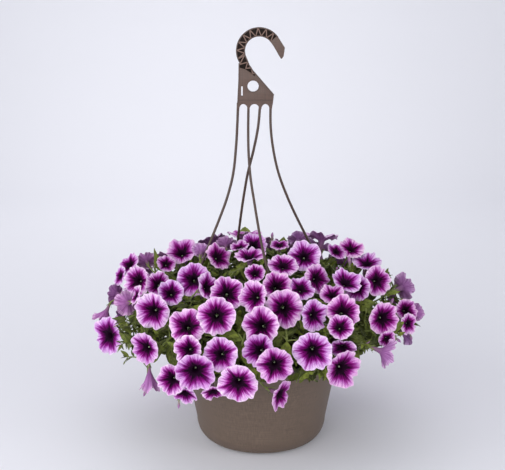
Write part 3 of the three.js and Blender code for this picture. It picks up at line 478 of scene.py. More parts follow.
def petal_back(settings):
    """The petals' backs and tube: mauve with darker veins, paler at the edge, greener towards the calyx."""
    finish = Finish("petal_back")
    marks = petal_marks(finish)
    lines = finish.math("MAXIMUM", marks["thread"], marks["midrib"])
    body = finish.bands(finish.ramp(marks["out"], -0.5, 1.0), (
        (0.0, linear(128, 116, 104)), (0.3, linear(142, 94, 146)), (0.55, linear(172, 118, 176)),
        (0.85, tuple(settings.back)), (1.0, linear(226, 188, 228))))
    # Painted shade: patches darkened where the back crinkles, standing in for the shade of its folds
    body = finish.blend(finish.times(marks["crinkle"], 0.3), body, linear(166, 100, 170))
    body = finish.blend(finish.times(lines, 0.6), body, linear(112, 46, 112))
    finish.colour(tinted(finish, body, marks["tone"]))
    finish.bump(finish.plus(lines, marks["crinkle"]), 0.4, 0.4 * MM)
    finish.set(Roughness=PETAL_ROUGHNESS, Specular_IOR_Level=PETAL_GLOSS)
    return finish.material


def leaf_finish(settings):
    """Soft green leaves with a pale midrib and side veins, some older, some newer."""
    finish = Finish("leaf")
    across, along = finish.map_axes("leaf")
    tone = finish.attribute("tone")
    side = finish.math("ABSOLUTE", across)
    midrib = finish.ramp(side, 0.02, 0.14, 1, 0)
    run = finish.minus(along, finish.times(side, 0.24))
    wave = finish.math("ABSOLUTE", finish.math("COSINE", finish.times(run, VEIN_PAIRS * math.pi)))
    vein = finish.times(finish.math("POWER", wave, 12), finish.ramp(side, 0.7, 1.0, 1, 0))
    lines = finish.math("MAXIMUM", midrib, finish.times(vein, 0.6))
    mottle = finish.noise(finish.place(), 190, 4)
    hairs = finish.noise(finish.place(), 2400, 2)
    body = finish.blend(tone, tuple(settings.old), tuple(settings.young))
    body = finish.blend(finish.ramp(mottle, 0.35, 0.65, 0, 0.6), body, linear(34, 40, 18))
    body = finish.blend(finish.times(lines, 0.5), body, linear(130, 138, 74))
    finish.colour(body)
    height = finish.plus(finish.times(lines, -1), finish.times(hairs, 0.35))
    finish.bump(height, 0.5, 0.4 * MM)
    finish.set(Roughness=0.58, Specular_IOR_Level=0.22)
    return finish.material


def stem_finish():
    """Hairy young stems and sepals."""
    finish = Finish("green_stem")
    patches = finish.noise(finish.place(), 240, 3)
    hairs = finish.noise(finish.place((1, 1, 0.25)), 2600, 2)
    body = finish.blend(patches, linear(88, 104, 46), linear(138, 146, 78))
    finish.colour(body)
    finish.bump(hairs, 0.5, 0.35 * MM)
    finish.set(Roughness=0.6, Specular_IOR_Level=0.25, Sheen_Weight=0.15, Sheen_Roughness=0.4)
    return finish.material


def heart_finish():
    """The pale green stigma and the anthers."""
    finish = Finish("flower_heart")
    grain = finish.noise(finish.place(), 2600, 2)
    finish.colour(finish.blend(grain, linear(104, 118, 98), linear(176, 186, 154)))
    finish.bump(grain, 0.5, 0.2 * MM)
    finish.set(Roughness=0.55)
    return finish.material


def bud_finish():
    """Furled buds: pale green at the foot, mauve at the twisted tip."""
    finish = Finish("bud")
    around, out = finish.map_axes("petal")
    twist = finish.plus(around, finish.times(out, 1.2))
    fold = finish.math("ABSOLUTE", finish.math("SINE", finish.times(twist, math.pi)))
    body = finish.blend(finish.ramp(out, 0.1, 0.95), linear(150, 160, 108), linear(166, 112, 168))
    body = finish.blend(finish.ramp(fold, 0.0, 0.4, 0.7, 0), body, linear(104, 48, 108))
    finish.colour(body)
    finish.bump(fold, 0.5, 0.5 * MM)
    finish.set(Roughness=0.7, Specular_IOR_Level=0.1)
    return finish.material


# Modelling helpers

def clear_selection():
    """Leaves edit mode and selects nothing."""
    if bpy.context.object and bpy.context.object.mode != "OBJECT":
        bpy.ops.object.mode_set(mode="OBJECT")
    bpy.ops.object.select_all(action="DESELECT")


def take(*objects):
    """Selects these objects alone, the first as the active one."""
    clear_selection()
    for obj in objects:
        obj.select_set(True)
    bpy.context.view_layer.objects.active = objects[0]


def apply_place(*objects):
    """Puts these objects' places, turns and sizes into their meshes."""
    take(*objects)
    bpy.ops.object.transform_apply(location=True, rotation=True, scale=True)


def face_outwards(obj, weld=False):
    """Turns every face outwards, and first merges the corners that share a place if it is to be welded."""
    take(obj)
    bpy.ops.object.mode_set(mode="EDIT")
    bpy.ops.mesh.select_all(action="SELECT")
    if weld:
        bpy.ops.mesh.remove_doubles(threshold=MERGE)
    bpy.ops.mesh.normals_make_consistent(inside=False)
    bpy.ops.object.mode_set(mode="OBJECT")


def mesh_of(name, curve):
    """A new object with the mesh of a curve."""
    obj = bpy.data.objects.new(name, curve)
    bpy.context.collection.objects.link(obj)
    take(obj)
    bpy.ops.object.convert(target="MESH")
    return bpy.context.object


def corners(mesh):
    """A mesh's corners, as an array."""
    flat = np.empty(len(mesh.vertices) * 3)
    mesh.vertices.foreach_get("co", flat)
    return flat.reshape(-1, 3)


def set_corners(mesh, places):
    """Moves a mesh's corners to these places."""
    mesh.vertices.foreach_set("co", np.ascontiguousarray(places, dtype=float).ravel())
    mesh.update()


class Sleeve:
    """A closed sleeve of rings, extruded from a disc, that is then given its shape ring by ring."""

    def __init__(self, name, sides, rings):
        self.sides, self.rings = sides, rings
        clear_selection()
        bpy.ops.mesh.primitive_circle_add(vertices=sides, radius=1, fill_type="NGON")
        self.obj = bpy.context.object
        self.obj.name = name
        bpy.ops.object.mode_set(mode="EDIT")
        bpy.ops.mesh.select_mode(type="FACE")
        bpy.ops.mesh.select_all(action="SELECT")
        for _ in range(rings - 1):
            bpy.ops.mesh.extrude_region_move(TRANSFORM_OT_translate={"value": (0, 0, 1)})
        bpy.ops.mesh.select_all(action="SELECT")
        bpy.ops.mesh.normals_make_consistent(inside=False)
        bpy.ops.object.mode_set(mode="OBJECT")
        self.obj.data.name = name
        start = corners(self.obj.data)
        turn = np.arctan2(start[:, 1], start[:, 0]) - math.pi / 2
        self.row = np.rint(start[:, 2]).astype(int)
        self.column = np.rint(turn / (2 * math.pi) * sides).astype(int) % sides

    def shape(self, places, mesh=None):
        """Sets each corner from an array of rings, sides and coordinates."""
        set_corners(mesh or self.obj.data, places[self.row, self.column])

    def paint(self, name, across, along):
        """A map whose first axis goes round the rings, by column, and whose second goes along, by row."""
        mesh = self.obj.data
        layer = mesh.uv_layers.new(name=name)
        for face in mesh.polygons:
            columns = [int(self.column[corner]) for corner in face.vertices]
            wraps = 0 in columns and self.sides - 1 in columns
            for loop, corner, column in zip(face.loop_indices, face.vertices, columns):
                turn = self.sides if wraps and column == 0 else column
                layer.data[loop].uv = (across(turn), along(int(self.row[corner])))

    def finish_faces(self, material_of_row):
        """Gives each face the material slot of the lowest row that it touches."""
        for face in self.obj.data.polygons:
            face.material_index = material_of_row(int(min(self.row[corner] for corner in face.vertices)))


def copy_of(obj, name):
    """A copy with its own mesh."""
    made = obj.copy()
    made.data = obj.data.copy()
    made.name = name
    bpy.context.collection.objects.link(made)
    return made


def join(objects, name):
    """One object made of these."""
    take(*objects)
    if len(objects) > 1:
        bpy.ops.object.join()
    made = bpy.context.view_layer.objects.active
    made.name = name
    made.data.name = name
    return made


def paint_all(parts, material):
    """Gives these parts one material."""
    for part in parts:
        part.data.materials.append(material)


def throw_away(*objects):
    """Deletes objects that are no longer needed."""
    for obj in objects:
        bpy.data.objects.remove(obj, do_unlink=True)


def give_tone(mesh, tone):
    """One number for the whole of a bloom or leaf, that its material varies by."""
    layer = mesh.attributes.get("tone") or mesh.attributes.new("tone", "FLOAT", "POINT")
    layer.data.foreach_set("value", np.full(len(mesh.vertices), tone))


def settle(obj, smooth=40.0):
    """Puts a finished piece's place in its mesh, smooths it, and lets it ride on the basket."""
    apply_place(obj)
    bpy.ops.object.shade_smooth_by_angle(angle=math.radians(smooth))
    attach(obj, BODY)
    clear_selection()


def smooth_run(points, steps):
    """A smooth line through all the points."""
    points = [Vector(point) for point in points]
    ends = [2 * points[0] - points[1], *points, 2 * points[-1] - points[-2]]
    line = []
    for before, start, end, after in zip(ends, ends[1:], ends[2:], ends[3:]):
        for step in range(steps):
            t = step / steps
            line.append(0.5 * (2 * start + (end - before) * t
                               + (2 * before - 5 * start + 4 * end - after) * t ** 2
                               + (3 * start - before - 3 * end + after) * t ** 3))
    line.append(points[-1])
    return line


def round_runs(name, runs, roundness):
    """Round stalks along lines: each run is its points and their radii."""
    curve = bpy.data.curves.new(name, "CURVE")
    curve.dimensions = "3D"
    curve.bevel_depth = 1.0
    curve.bevel_resolution = roundness
    curve.use_fill_caps = True
    for points, radii in runs:
        spline = curve.splines.new("POLY")
        spline.points.add(len(points) - 1)
        for knot, point, radius in zip(spline.points, points, radii):
            knot.co = (*point, 1)
            knot.radius = radius
    made = mesh_of(name, curve)
    face_outwards(made, weld=True)
    return made


def side_of(run):
    """A level way across a line."""
    guide = Vector((0, 0, 1)) if abs(run.z) < 0.8 else Vector((1, 0, 0))
    return guide.cross(run).normalized()


# Reading the plants' solids

def merged(node):
    """The corners of a node's solid, and the corners that each one meets."""
    mesh = bmesh.new()
    mesh.from_mesh(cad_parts[node].data)
    bmesh.ops.remove_doubles(mesh, verts=mesh.verts, dist=MERGE)
    mesh.verts.index_update()
    points = [corner.co.copy() for corner in mesh.verts]
    meets = [[edge.other_vert(corner).index for edge in corner.link_edges] for corner in mesh.verts]
    mesh.free()
    return points, meets


def middle_of(points):
    """The mean of some points."""
    return sum(points, Vector()) / len(points)


def find_blooms(points, meets):
    """Each bloom's throat, facing, midrib direction and span, and its rim's angles, reaches and lifts."""
    blooms = []
    for apex, ring in enumerate(meets):
        if len(ring) != LOBES:
            continue
        sides = [(points[corner] - points[apex]).length for corner in ring]
        if max(sides) - min(sides) > FIT:
            continue
        throat = middle_of([points[corner] for corner in ring])
        radius = (points[ring[0]] - throat).length
        depth = (throat - points[apex]).length
        if abs(depth * THROAT_RADIUS - radius * THROAT_DEPTH) > FIT:
            continue
        axis = (throat - points[apex]).normalized()
        midrib = (points[ring[0]] - throat).normalized()
        other = axis.cross(midrib)
        rim = {near for corner in ring for near in meets[corner]} - set(ring) - {apex}
        edge = []
        for corner in rim:
            away = points[corner] - throat
            turn = math.atan2(away.dot(other), away.dot(midrib)) % (2 * math.pi)
            edge.append((turn, math.hypot(away.dot(other), away.dot(midrib)), away.dot(axis)))
        if len(edge) != 3 * LOBES:
            raise RuntimeError(f"a bloom has {len(edge)} rim points")
        blooms.append({
            "throat": throat, "axis": axis, "midrib": midrib, "other": other,
            "span": radius / THROAT_RADIUS, "edge": sorted(edge),
        })
    return blooms


def find_leaves(points, meets):
    """Each leaf's base, way, top side and length, from the folded ring near its tip."""
    leaves = []
    for tip, ring in enumerate(meets):
        if len(ring) != 4:
            continue
        near = [points[corner] for corner in ring]
        pairs = [(a, b) for a in range(4) for b in range(a)]
        fold = [(a, b) for a, b in pairs if abs((near[a] - near[b]).length - LEAF_FOLD_TIP) < FIT]
        if len(fold) != 1:
            continue
        a, b = fold[0]
        c, d = [corner for corner in range(4) if corner not in fold[0]]
        length = (near[c] - near[d]).length / (2 * LEAF_HALF_TIP)
        middle = (near[c] + near[d]) / 2
        if abs((points[tip] - middle).length - LEAF_TIP_BEYOND * length) > LEAF_FIT * length:
            continue
        top = (middle - (near[a] + near[b]) / 2).normalized()
        way = (points[tip] - middle + top * LEAF_TIP_DROOP * length).normalized()
        base = middle - way * LEAF_FOLD_SHARE * length + top * LEAF_SHOULDER_DROOP * length
        leaves.append({"base": base, "way": way, "top": top, "length": length, "width": SOLID_LEAF_WIDTH})
    return leaves


def find_rings(points, meets, side):
    """Middles of the three-sided rings of stems of that size, and the corners of each."""
    rings = {}
    for a, near in enumerate(meets):
        for b in near:
            if b < a or abs((points[a] - points[b]).length - side) > FIT:
                continue
            for c in set(near) & set(meets[b]):
                is_even = abs((points[a] - points[c]).length - side) < FIT
                if is_even and abs((points[b] - points[c]).length - side) < FIT:
                    key = tuple(sorted((a, b, c)))
                    rings[key] = middle_of([points[corner] for corner in key])
    return rings


def mound_height(up):
    """How far the mound reaches from its centre, upwards or downwards."""
    return MOUND_RISE if up > 0 else MOUND_FALL


def reach_in_mound(point):
    """Where a point lies in the mound: 0 at its centre and 1 on its surface."""
    away = point - MOUND_CENTRE
    rise = mound_height(away.z)
    return math.sqrt((away.x / MOUND_RADIUS) ** 2 + (away.y / MOUND_RADIUS) ** 2 + (away.z / rise) ** 2)


def out_of_mound(point):
    """The way straight out of the mound."""
    away = point - MOUND_CENTRE
    rise = mound_height(away.z)
    return Vector((away.x / MOUND_RADIUS ** 2, away.y / MOUND_RADIUS ** 2, away.z / rise ** 2)).normalized()


# Stems and the room that blooms take

CLEAR_OF_TUBE = 1 * MM
TUBE_FOOT = 0.06
LEADER_REACH = 4 * MM

# What each bloom keeps clear, in spans: behind and ahead of its limb, beside it, and round its tube
LIMB_BEHIND, LIMB_AHEAD, LIMB_ASIDE = 0.16, 0.75, 0.54
TUBE_BEHIND, TUBE_ASIDE = 0.55, 0.13

# What the pot keeps clear: its wall and rim, with a margin beside and above them, and the mix in it
WALL_INSIDE = 0.116
WALL_MARGIN, RIM_MARGIN = 2 * MM, 3 * MM
MIX_CLEAR = 0.142


def tube_end(bloom):
    """Where a bloom's tube meets its pedicel."""
    return bloom["throat"] - bloom["axis"] * TUBE_LENGTH * bloom["span"]


def nearest_on_line(point, line):
    """The point of a line of points that lies nearest."""
    best = None
    for start, end in zip(line, line[1:]):
        way = end - start
        share = min(max((point - start).dot(way) / way.length_squared, 0), 1)
        place = start + way * share
        if best is None or (place - point).length < (best - point).length:
            best = place
    return best


def in_order(middles, first):
    """The middles of a stem's rings, one after the other from its root."""
    waiting = list(middles)
    line = [first]
    while waiting:
        waiting.sort(key=lambda place: (place - line[-1]).length)
        line.append(waiting.pop(0))
    return line


def trace_stem(points, meets, blooms):
    """The stem's line, from its root up to its fork or tip."""
    rings = find_rings(points, meets, STEM_SIDE)
    ends = [tube_end(bloom) for bloom in blooms]
    middles = [place for place in rings.values() if all((place - end).length > CLEAR_OF_TUBE for end in ends)]
    middles.sort(key=lambda place: place.z)
    return in_order(middles[1:], middles[0])


def trace_pedicels(points, meets, blooms, stem):
    """A line from each bloom's tube to the stem, through its bend."""
    bends = find_rings(points, meets, PEDICEL_SIDE)
    lines = []
    for bloom in blooms:
        end = tube_end(bloom)
        foot = [i for i, place in enumerate(points) if (place - end).length < TUBE_FOOT * bloom["span"]]
        near = {other for corner in foot for other in meets[corner]}
        mine = [key for key in bends if len(near & set(key)) == 3 and not set(key) & set(foot)]
        line = [end]
        if mine:
            line.append(bends[mine[0]])
            beyond = {other for corner in mine[0] for other in meets[corner]} - set(mine[0]) - set(foot)
            last = middle_of([points[corner] for corner in beyond])
        else:
            last = end
        joint = nearest_on_line(last, stem)
        is_leader = (last - stem[-1]).length < LEADER_REACH
        line.append(stem[-1] if is_leader else joint)
        lines.append(line)
    return lines


@functools.lru_cache(maxsize=None)
def read_plants():
    """Every plant's blooms, leaves, stem and pedicels, read once from the solids."""
    plants = {}
    for node in sorted(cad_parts):
        if not node.startswith(("flower_spray", "leafy_shoot")):
            continue
        points, meets = merged(node)
        blooms = find_blooms(points, meets)
        stem = trace_stem(points, meets, blooms)
        leaves = find_leaves(points, meets) if node.startswith("leafy_shoot") else []
        pedicels = trace_pedicels(points, meets, blooms, stem)
        plants[node] = {"blooms": blooms, "leaves": leaves, "stem": stem, "pedicels": pedicels}
    return plants


@functools.lru_cache(maxsize=None)
def bloom_room():
    """All the blooms' throats, facings and spans, as arrays."""
    blooms = [bloom for plant in read_plants().values() for bloom in plant["blooms"]]
    throats = np.array([tuple(bloom["throat"]) for bloom in blooms])
    axes = np.array([tuple(bloom["axis"]) for bloom in blooms])
    spans = np.array([bloom["span"] for bloom in blooms])
    return throats, axes, spans


# Lowest heights in the picture that leaves are seen at, by how far they are from its middle: over the pot's
# front, and beside it
LEAF_LINE_ASIDE = (0.125, 0.15, 0.2, 0.26)
LEAF_LINE = (0.078, 0.118, 0.134, 0.165)
LEAF_LINE_DEPTH = -0.05


def in_picture(spots):
    """How far aside and how high the camera sees these places, at the scale of the pot's middle."""
    scale = VIEW_DISTANCE / (VIEW_DISTANCE - spots @ np.array(tuple(TO_CAMERA)))
    aside = VIEW_SHIFT + (spots[:, 0] - VIEW_SHIFT) * scale
    height = VIEW_LIFT + (spots @ np.array(tuple(PICTURE_UP)) - VIEW_LIFT) * scale
    return aside, height


def is_bare(spots):
    """Whether one of these places is seen where the photograph shows no plant."""
    aside, height = in_picture(spots)
    low = height < np.interp(np.abs(aside), LEAF_LINE_ASIDE, LEAF_LINE)
    shows = (spots[:, 1] < LEAF_LINE_DEPTH) | (np.abs(aside) > LEAF_LINE_ASIDE[0])
    return (low & shows).any()


def is_open(places, may_hang=False):
    """Whether none of these places lies in a bloom, in front of its face, in the pot's wall or too low."""
    throats, axes, spans = bloom_room()
    spots = np.array([tuple(place) for place in places])
    if is_bare(spots) and not may_hang:
        return False
    away = spots[:, None, :] - throats[None, :, :]
    ahead = np.einsum("ijk,jk->ij", away, axes)
    aside = np.sqrt(np.maximum((away ** 2).sum(axis=2) - ahead ** 2, 0))
    limb = (ahead > -LIMB_BEHIND * spans) & (ahead < LIMB_AHEAD * spans) & (aside < LIMB_ASIDE * spans)
    tube = (ahead > -TUBE_BEHIND * spans) & (ahead <= -LIMB_BEHIND * spans) & (aside < TUBE_ASIDE * spans)
    if (limb | tube).any():
        return False
    reach = np.hypot(spots[:, 0], spots[:, 1])
    over = reach > WALL_INSIDE
    wall = over & (reach < RIM_RADIUS + WALL_MARGIN) & (spots[:, 2] < POT_HEIGHT + RIM_MARGIN)
    inside = ~over & (spots[:, 2] < MIX_CLEAR)
    return not (wall | inside).any()


# Blooms

BLOOM_SIDES = 50
FACE_TUBE = ((-0.45, 0.028), (-0.34, 0.041), (-0.24, 0.05), (-0.15, 0.061), (-0.07, 0.077))
FACE_LIMB = (0.0, 0.08, 0.17, 0.28, 0.41, 0.55, 0.69, 0.82, 0.93, 1.0)
FACE_ROWS = len(FACE_TUBE) + len(FACE_LIMB)
BACK_ROWS = (14, 13, 12, 10, 8, 6, 5, 4, 3, 1, 0)
NOTCH = 0.08
NOTCH_NEAR = 0.1
LOBE_CURL = (-0.03, 0.075)

# Waves of a bloom's edge: how many go round, and how strong; and the frill that makes its outline uneven
EDGE_WAVES = ((4, 1.0), (9, 0.8), (14, 0.7))
WAVE_REACH = 0.018
FRILLS = 13
FRILL = 0.028

# The face's shape, in spans: how fast it opens, and the furrows along its midribs and between its lobes
TRUMPET = 1.6
MIDRIB_SINK = 0.016
MIDRIB_WIDTH = 0.22
SEAM_SINK = 0.02


def ring_round(radius, turns, height):
    """The corners of a ring round the Z axis, each with its own radius and height or all with one."""
    height = np.broadcast_to(height, turns.shape)
    return np.stack([radius * np.cos(turns), radius * np.sin(turns), height], axis=1)


def row_outs():
    """How far out each row of the face lies: 1 at the edge, 0 at the throat, less in the tube."""
    return [depth for depth, _ in FACE_TUBE] + list(FACE_LIMB)


def bloom_template(materials):
    """One bloom's sleeve: up the inside of its tube, out over its face, and back underneath."""
    sleeve = Sleeve("bloom_template", BLOOM_SIDES, FACE_ROWS + len(BACK_ROWS))
    outs = row_outs()
    along = outs + [outs[row] for row in BACK_ROWS]
    sleeve.paint("petal", lambda column: column * LOBES / BLOOM_SIDES, lambda row: along[row])
    for material in materials:
        sleeve.obj.data.materials.append(material)
    sleeve.finish_faces(lambda row: 0 if row < FACE_ROWS - 1 else 1)
    return sleeve


def softened(levels):
    """Levels round a ring, each drawn twice towards its neighbours."""
    for _ in range(2):
        levels = 0.5 * levels + 0.25 * (np.roll(levels, 1) + np.roll(levels, -1))
    return levels


def bloom_edge(bloom, turns, rib):
    """The edge's reach and lift all round, from the rim of the solid."""
    edge = np.array(bloom["edge"])
    is_notch = np.abs(np.mod(edge[:, 0] / (2 * math.pi) * LOBES, 1) - 0.5) < NOTCH_NEAR
    reach = np.interp(turns, edge[~is_notch, 0], edge[~is_notch, 1], period=2 * math.pi)
    lift = np.interp(turns, edge[:, 0], edge[:, 2], period=2 * math.pi)
    return softened(reach) * (1 - NOTCH * rib ** 5), softened(lift)


def bloom_places(bloom, settings, draw):
    """Every corner of one bloom: trumpet, five lobes with sunken midribs, notches and ruffled edge."""
    span = bloom["span"]
    turns = 2 * math.pi * np.arange(BLOOM_SIDES) / BLOOM_SIDES
    rib = 2 * np.abs(np.mod(turns / (2 * math.pi) * LOBES + 0.5, 1) - 0.5)
    reach, lift = bloom_edge(bloom, turns, rib)
    phases = [draw.uniform(0, 2 * math.pi) for _ in range(len(EDGE_WAVES) + 1)]
    waves = sum(strength * np.sin(count * turns + phase)
                for (count, strength), phase in zip(EDGE_WAVES, phases))
    reach = reach * (1 + FRILL * np.sin(FRILLS * turns + phases[-1]) + WAVE_REACH * waves)
    lobe_turns = 2 * math.pi * np.arange(LOBES) / LOBES
    curl = np.interp(turns, lobe_turns, [draw.uniform(*LOBE_CURL) for _ in range(LOBES)], period=2 * math.pi)
    face = np.empty((FACE_ROWS, BLOOM_SIDES, 3))
    for row, (depth, radius) in enumerate(FACE_TUBE):
        face[row] = ring_round(radius * span, turns, depth * span)
    for row, out in enumerate(FACE_LIMB, len(FACE_TUBE)):
        radius = THROAT_RADIUS * span + (reach - THROAT_RADIUS * span) * out
        height = lift * (1 - (1 - out) ** TRUMPET)
        height = height + settings.ruffle * span * waves * out ** 2.5
        height = height - curl * span * out ** 5
        furrow = MIDRIB_SINK * span * np.exp(-(rib / MIDRIB_WIDTH) ** 2) * math.sin(math.pi * out ** 0.8)
        height = height - furrow - SEAM_SINK * span * rib ** 8 * out
        face[row] = ring_round(radius, turns, height)
    round_way = np.roll(face, -1, axis=1) - np.roll(face, 1, axis=1)
    out_way = np.gradient(face, axis=0)
    normal = np.cross(out_way, round_way)
    normal /= np.linalg.norm(normal, axis=2, keepdims=True) + 1e-12
    back = face - normal * settings.thickness
    places = np.concatenate([face, back[list(BACK_ROWS)]])
    turn = np.array([tuple(bloom["midrib"]), tuple(bloom["other"]), tuple(bloom["axis"])])
    return places @ turn + np.array(tuple(bloom["throat"]))


def ringed_part(name, sides, rings, material=None):
    """A closed part from its rings, each given as its corners, painted if there is a material."""
    sleeve = Sleeve(name, sides, len(rings))
    sleeve.shape(np.array(rings))
    face_outwards(sleeve.obj)
    if material:
        sleeve.obj.data.materials.append(material)
    return sleeve.obj


def turned_rings(profile, sides):
    """Rings round the Z axis from pairs of radius and height in mm."""
    turns = 2 * math.pi * np.arange(sides) / sides
    return [ring_round(radius * MM, turns, height * MM) for radius, height in profile]


# The cup's radius and height, and a sepal's distance out, height and half width, in mm
CALYX_PROFILE = ((0.9, 0), (1.9, 1.0), (2.7, 2.6), (2.6, 4.6))
CALYX_SIDES = 6
SEPAL_LINE = ((2.0, 1.6, 0.7), (2.9, 5.5, 1.25), (4.4, 9.5, 1.1), (6.8, 12.6, 0.15))
SEPAL_KEEL_OUT, SEPAL_KEEL_SINK = 0.5, 0.3


def calyx_template(material):
    """The green cup under a tube, with five narrow sepals, for a bloom of 50 mm."""
    cup = ringed_part("calyx_cup", CALYX_SIDES, turned_rings(CALYX_PROFILE, CALYX_SIDES), material)
    rings = []
    for out, up, half in SEPAL_LINE:
        keel = (out * MM + SEPAL_KEEL_OUT * MM, 0, up * MM - SEPAL_KEEL_SINK * MM)
        rings.append([(out * MM, half * MM, up * MM), keel, (out * MM, -half * MM, up * MM)])
    first = ringed_part("sepal", 3, rings, material)
    parts = [cup, first]
    for place in range(1, LOBES):
        sepal = copy_of(first, "sepal")
        sepal.rotation_euler.z = 2 * math.pi * place / LOBES
        parts.append(sepal)
    apply_place(*parts)
    return join(parts, "calyx_template")


# Radius and height from the throat, in mm
HEART_PROFILE = ((0.35, -16), (0.35, -4.6), (0.8, -3.9), (1.25, -2.7), (1.0, -1.6), (0.2, -1.1))
HEART_SIDES = 7
ANTHER_PROFILE = ((0.25, -13), (0.25, -8.6), (0.75, -7.9), (0.6, -6.9), (0.1, -6.6))
ANTHER_SIDES = 4
ANTHER_COUNT = 4
ANTHER_ASIDE = 1.9 * MM
ANTHER_STEP = 0.6 * MM


def heart_template(material):
    """The stigma on its style with anthers round it, for a bloom of 50 mm."""
    style = ringed_part("style", HEART_SIDES, turned_rings(HEART_PROFILE, HEART_SIDES), material)
    first = ringed_part("anther", ANTHER_SIDES, turned_rings(ANTHER_PROFILE, ANTHER_SIDES), material)
    first.location.x = ANTHER_ASIDE
    parts = [style, first]
    for place in range(1, ANTHER_COUNT):
        anther = copy_of(first, "anther")
        turn = 2 * math.pi * place / ANTHER_COUNT + 0.3
        anther.location = (ANTHER_ASIDE * math.cos(turn), ANTHER_ASIDE * math.sin(turn), -ANTHER_STEP * place)
        parts.append(anther)
    apply_place(*parts)
    return join(parts, "heart_template")


def set_on(template, name, origin, x_axis, z_axis, size):
    """A copy of a small part, placed in its mesh."""
    made = copy_of(template, name)
    z_axis = z_axis.normalized()
    x_axis = (x_axis - z_axis * x_axis.dot(z_axis)).normalized()
    turn = Matrix((x_axis, z_axis.cross(x_axis), z_axis)).transposed().to_4x4()
    made.data.transform(Matrix.Translation(origin) @ turn @ Matrix.Scale(size, 4))
    return made


# Leaves and twigs

LEAF_SIDES = 6
LEAF_ACROSS = (-1, -0.5, 0, 0.5, 1, 0)
LEAF_STATIONS = (0.0, 0.1, 0.24, 0.4, 0.57, 0.73, 0.88, 1.0)
LEAF_STALK = 0.1
LEAF_STALK_HALF = 0.03
LEAF_THICKNESS = 0.55 * MM
LEAF_TIP_HALF = 0.3 * MM

# How far a leaf may be folded along its midrib, arched, waved at its edges and twisted
LEAF_FOLDS = (0.1, 0.3)
LEAF_ARCHES = (0.08, 0.2)
LEAF_WAVES = (0.02, 0.07)
LEAF_TWISTS = (-0.35, 0.35)

# Where a leaf is tested for room, as shares of its length, and how far it is taken to arch
LEAF_ROOM = (0.35, 0.6, 0.85, 1.05)
LEAF_ROOM_ARCH = 0.12


def leaf_half(share):
    """Half of a leaf's width along it, as a share of its length: a short stalk, then an oval blade."""
    if share <= LEAF_STALK:
        return LEAF_STALK_HALF
    blade = (share - LEAF_STALK) / (1 - LEAF_STALK)
    return 0.012 + 0.245 * math.sin(math.pi * min(blade, 1) ** 0.8) ** 0.8


def leaf_template(material):
    """One leaf's sleeve, with a map across its blade and along it."""
    sleeve = Sleeve("leaf_template", LEAF_SIDES, len(LEAF_STATIONS))
    sleeve.paint("leaf", lambda column: LEAF_ACROSS[column % LEAF_SIDES], lambda row: LEAF_STATIONS[row])
    sleeve.obj.data.materials.append(material)
    return sleeve


def leaf_places(leaf, draw):
    """A leaf's corners: folded along its midrib, crowned each side, arched and waved."""
    length, width = leaf["length"], leaf["width"]
    way = leaf["way"]
    side = way.cross(leaf["top"]).normalized()
    top = side.cross(way).normalized()
    fold, arch = draw.uniform(*LEAF_FOLDS), draw.uniform(*LEAF_ARCHES)
    wave, phase = draw.uniform(*LEAF_WAVES), draw.uniform(0, 6)
    twist = draw.uniform(*LEAF_TWISTS)
    rings = []
    for share in LEAF_STATIONS:
        half = leaf_half(share) * length * width
        if share == 1.0:
            half = LEAF_TIP_HALF
        middle = leaf["base"] + way * share * length - top * arch * share ** 2 * length
        turn = twist * share
        right = side * math.cos(turn) + top * math.sin(turn)
        up = top * math.cos(turn) - side * math.sin(turn)
        flutter = wave * length * math.sin(7 * share + phase) * math.sin(math.pi * share)
        edge = fold * half
        crown = 0.45 * edge + 0.1 * half
        rings.append([
            middle - right * half + up * (edge + flutter),
            middle - right * half * 0.5 + up * (crown + flutter * 0.4),
            middle,
            middle + right * half * 0.5 + up * (crown - flutter * 0.3),
            middle + right * half + up * (edge - flutter),
            middle - up * LEAF_THICKNESS,
        ])
    return np.array([[tuple(corner) for corner in ring] for ring in rings])


def leaf_room(leaf):
    """Places of a leaf that have to be clear of the blooms."""
    way, length = leaf["way"], leaf["length"]
    side = way.cross(leaf["top"]).normalized()
    spots = []
    for share in LEAF_ROOM:
        half = leaf_half(min(share, 1)) * length * leaf["width"]
        middle = leaf["base"] + way * share * length - leaf["top"] * LEAF_ROOM_ARCH * share ** 2 * length
        spots += [middle, middle + side * half, middle - side * half]
    return spots


# Where the twigs' tips lie: in the mound's shells one after the other, but never far out near its top
TWIG_SEED = 11
TWIG_SHELLS = (0.72, 0.86, 0.95, 0.8)
TWIG_LOWEST = -0.8
TOP_RISE = 0.5
TOP_SHELL = 0.8

# How long a twig may be and how high it arches, and where it may leave a stem: above the mix, at every second
# of the nearest places
TWIG_REACH = 0.12
TWIG_SHORTEST = 12 * MM
TWIG_LIFTS = (0.05, 0.3)
TWIG_STEPS = 6
TWIG_NEAREST = 14
TWIG_SKIP = 2
STEMS_FROM = 0.146

# A twig's leaves: where along it they grow, their sizes, and how often another way round is tried for each
LEAF_SHARES = (0.99, 0.9, 0.79, 0.67, 0.54, 0.4)
LEAF_SIZES = (0.7, 1.15)
TIP_LEAF_SIZE = 0.75
LEAF_WIDTH = (0.5, 0.8)
LEAF_TRIES = 4
LEAF_TRY_TURN = 1.3

# Sprigs of narrow leaves that the photograph shows at the mound's edge, as the pixels of their tips
SEEN_SPRIGS = ((126.5, 357), (121, 345), (390.6, 281), (388, 276), (364, 344), (352, 349))
SPRIG_LENGTH = 0.015
SPRIG_WIDTH = 0.65
SPRIG_SHARES = (0.99, 0.96, 0.92, 0.87, 0.81, 0.74, 0.66)

# The line of sight, as shares of the way from the camera to the picture's plane through the pot's middle
SIGHT_START = 0.8
SIGHT_STEP = 0.001
SIGHT_STEPS = 400


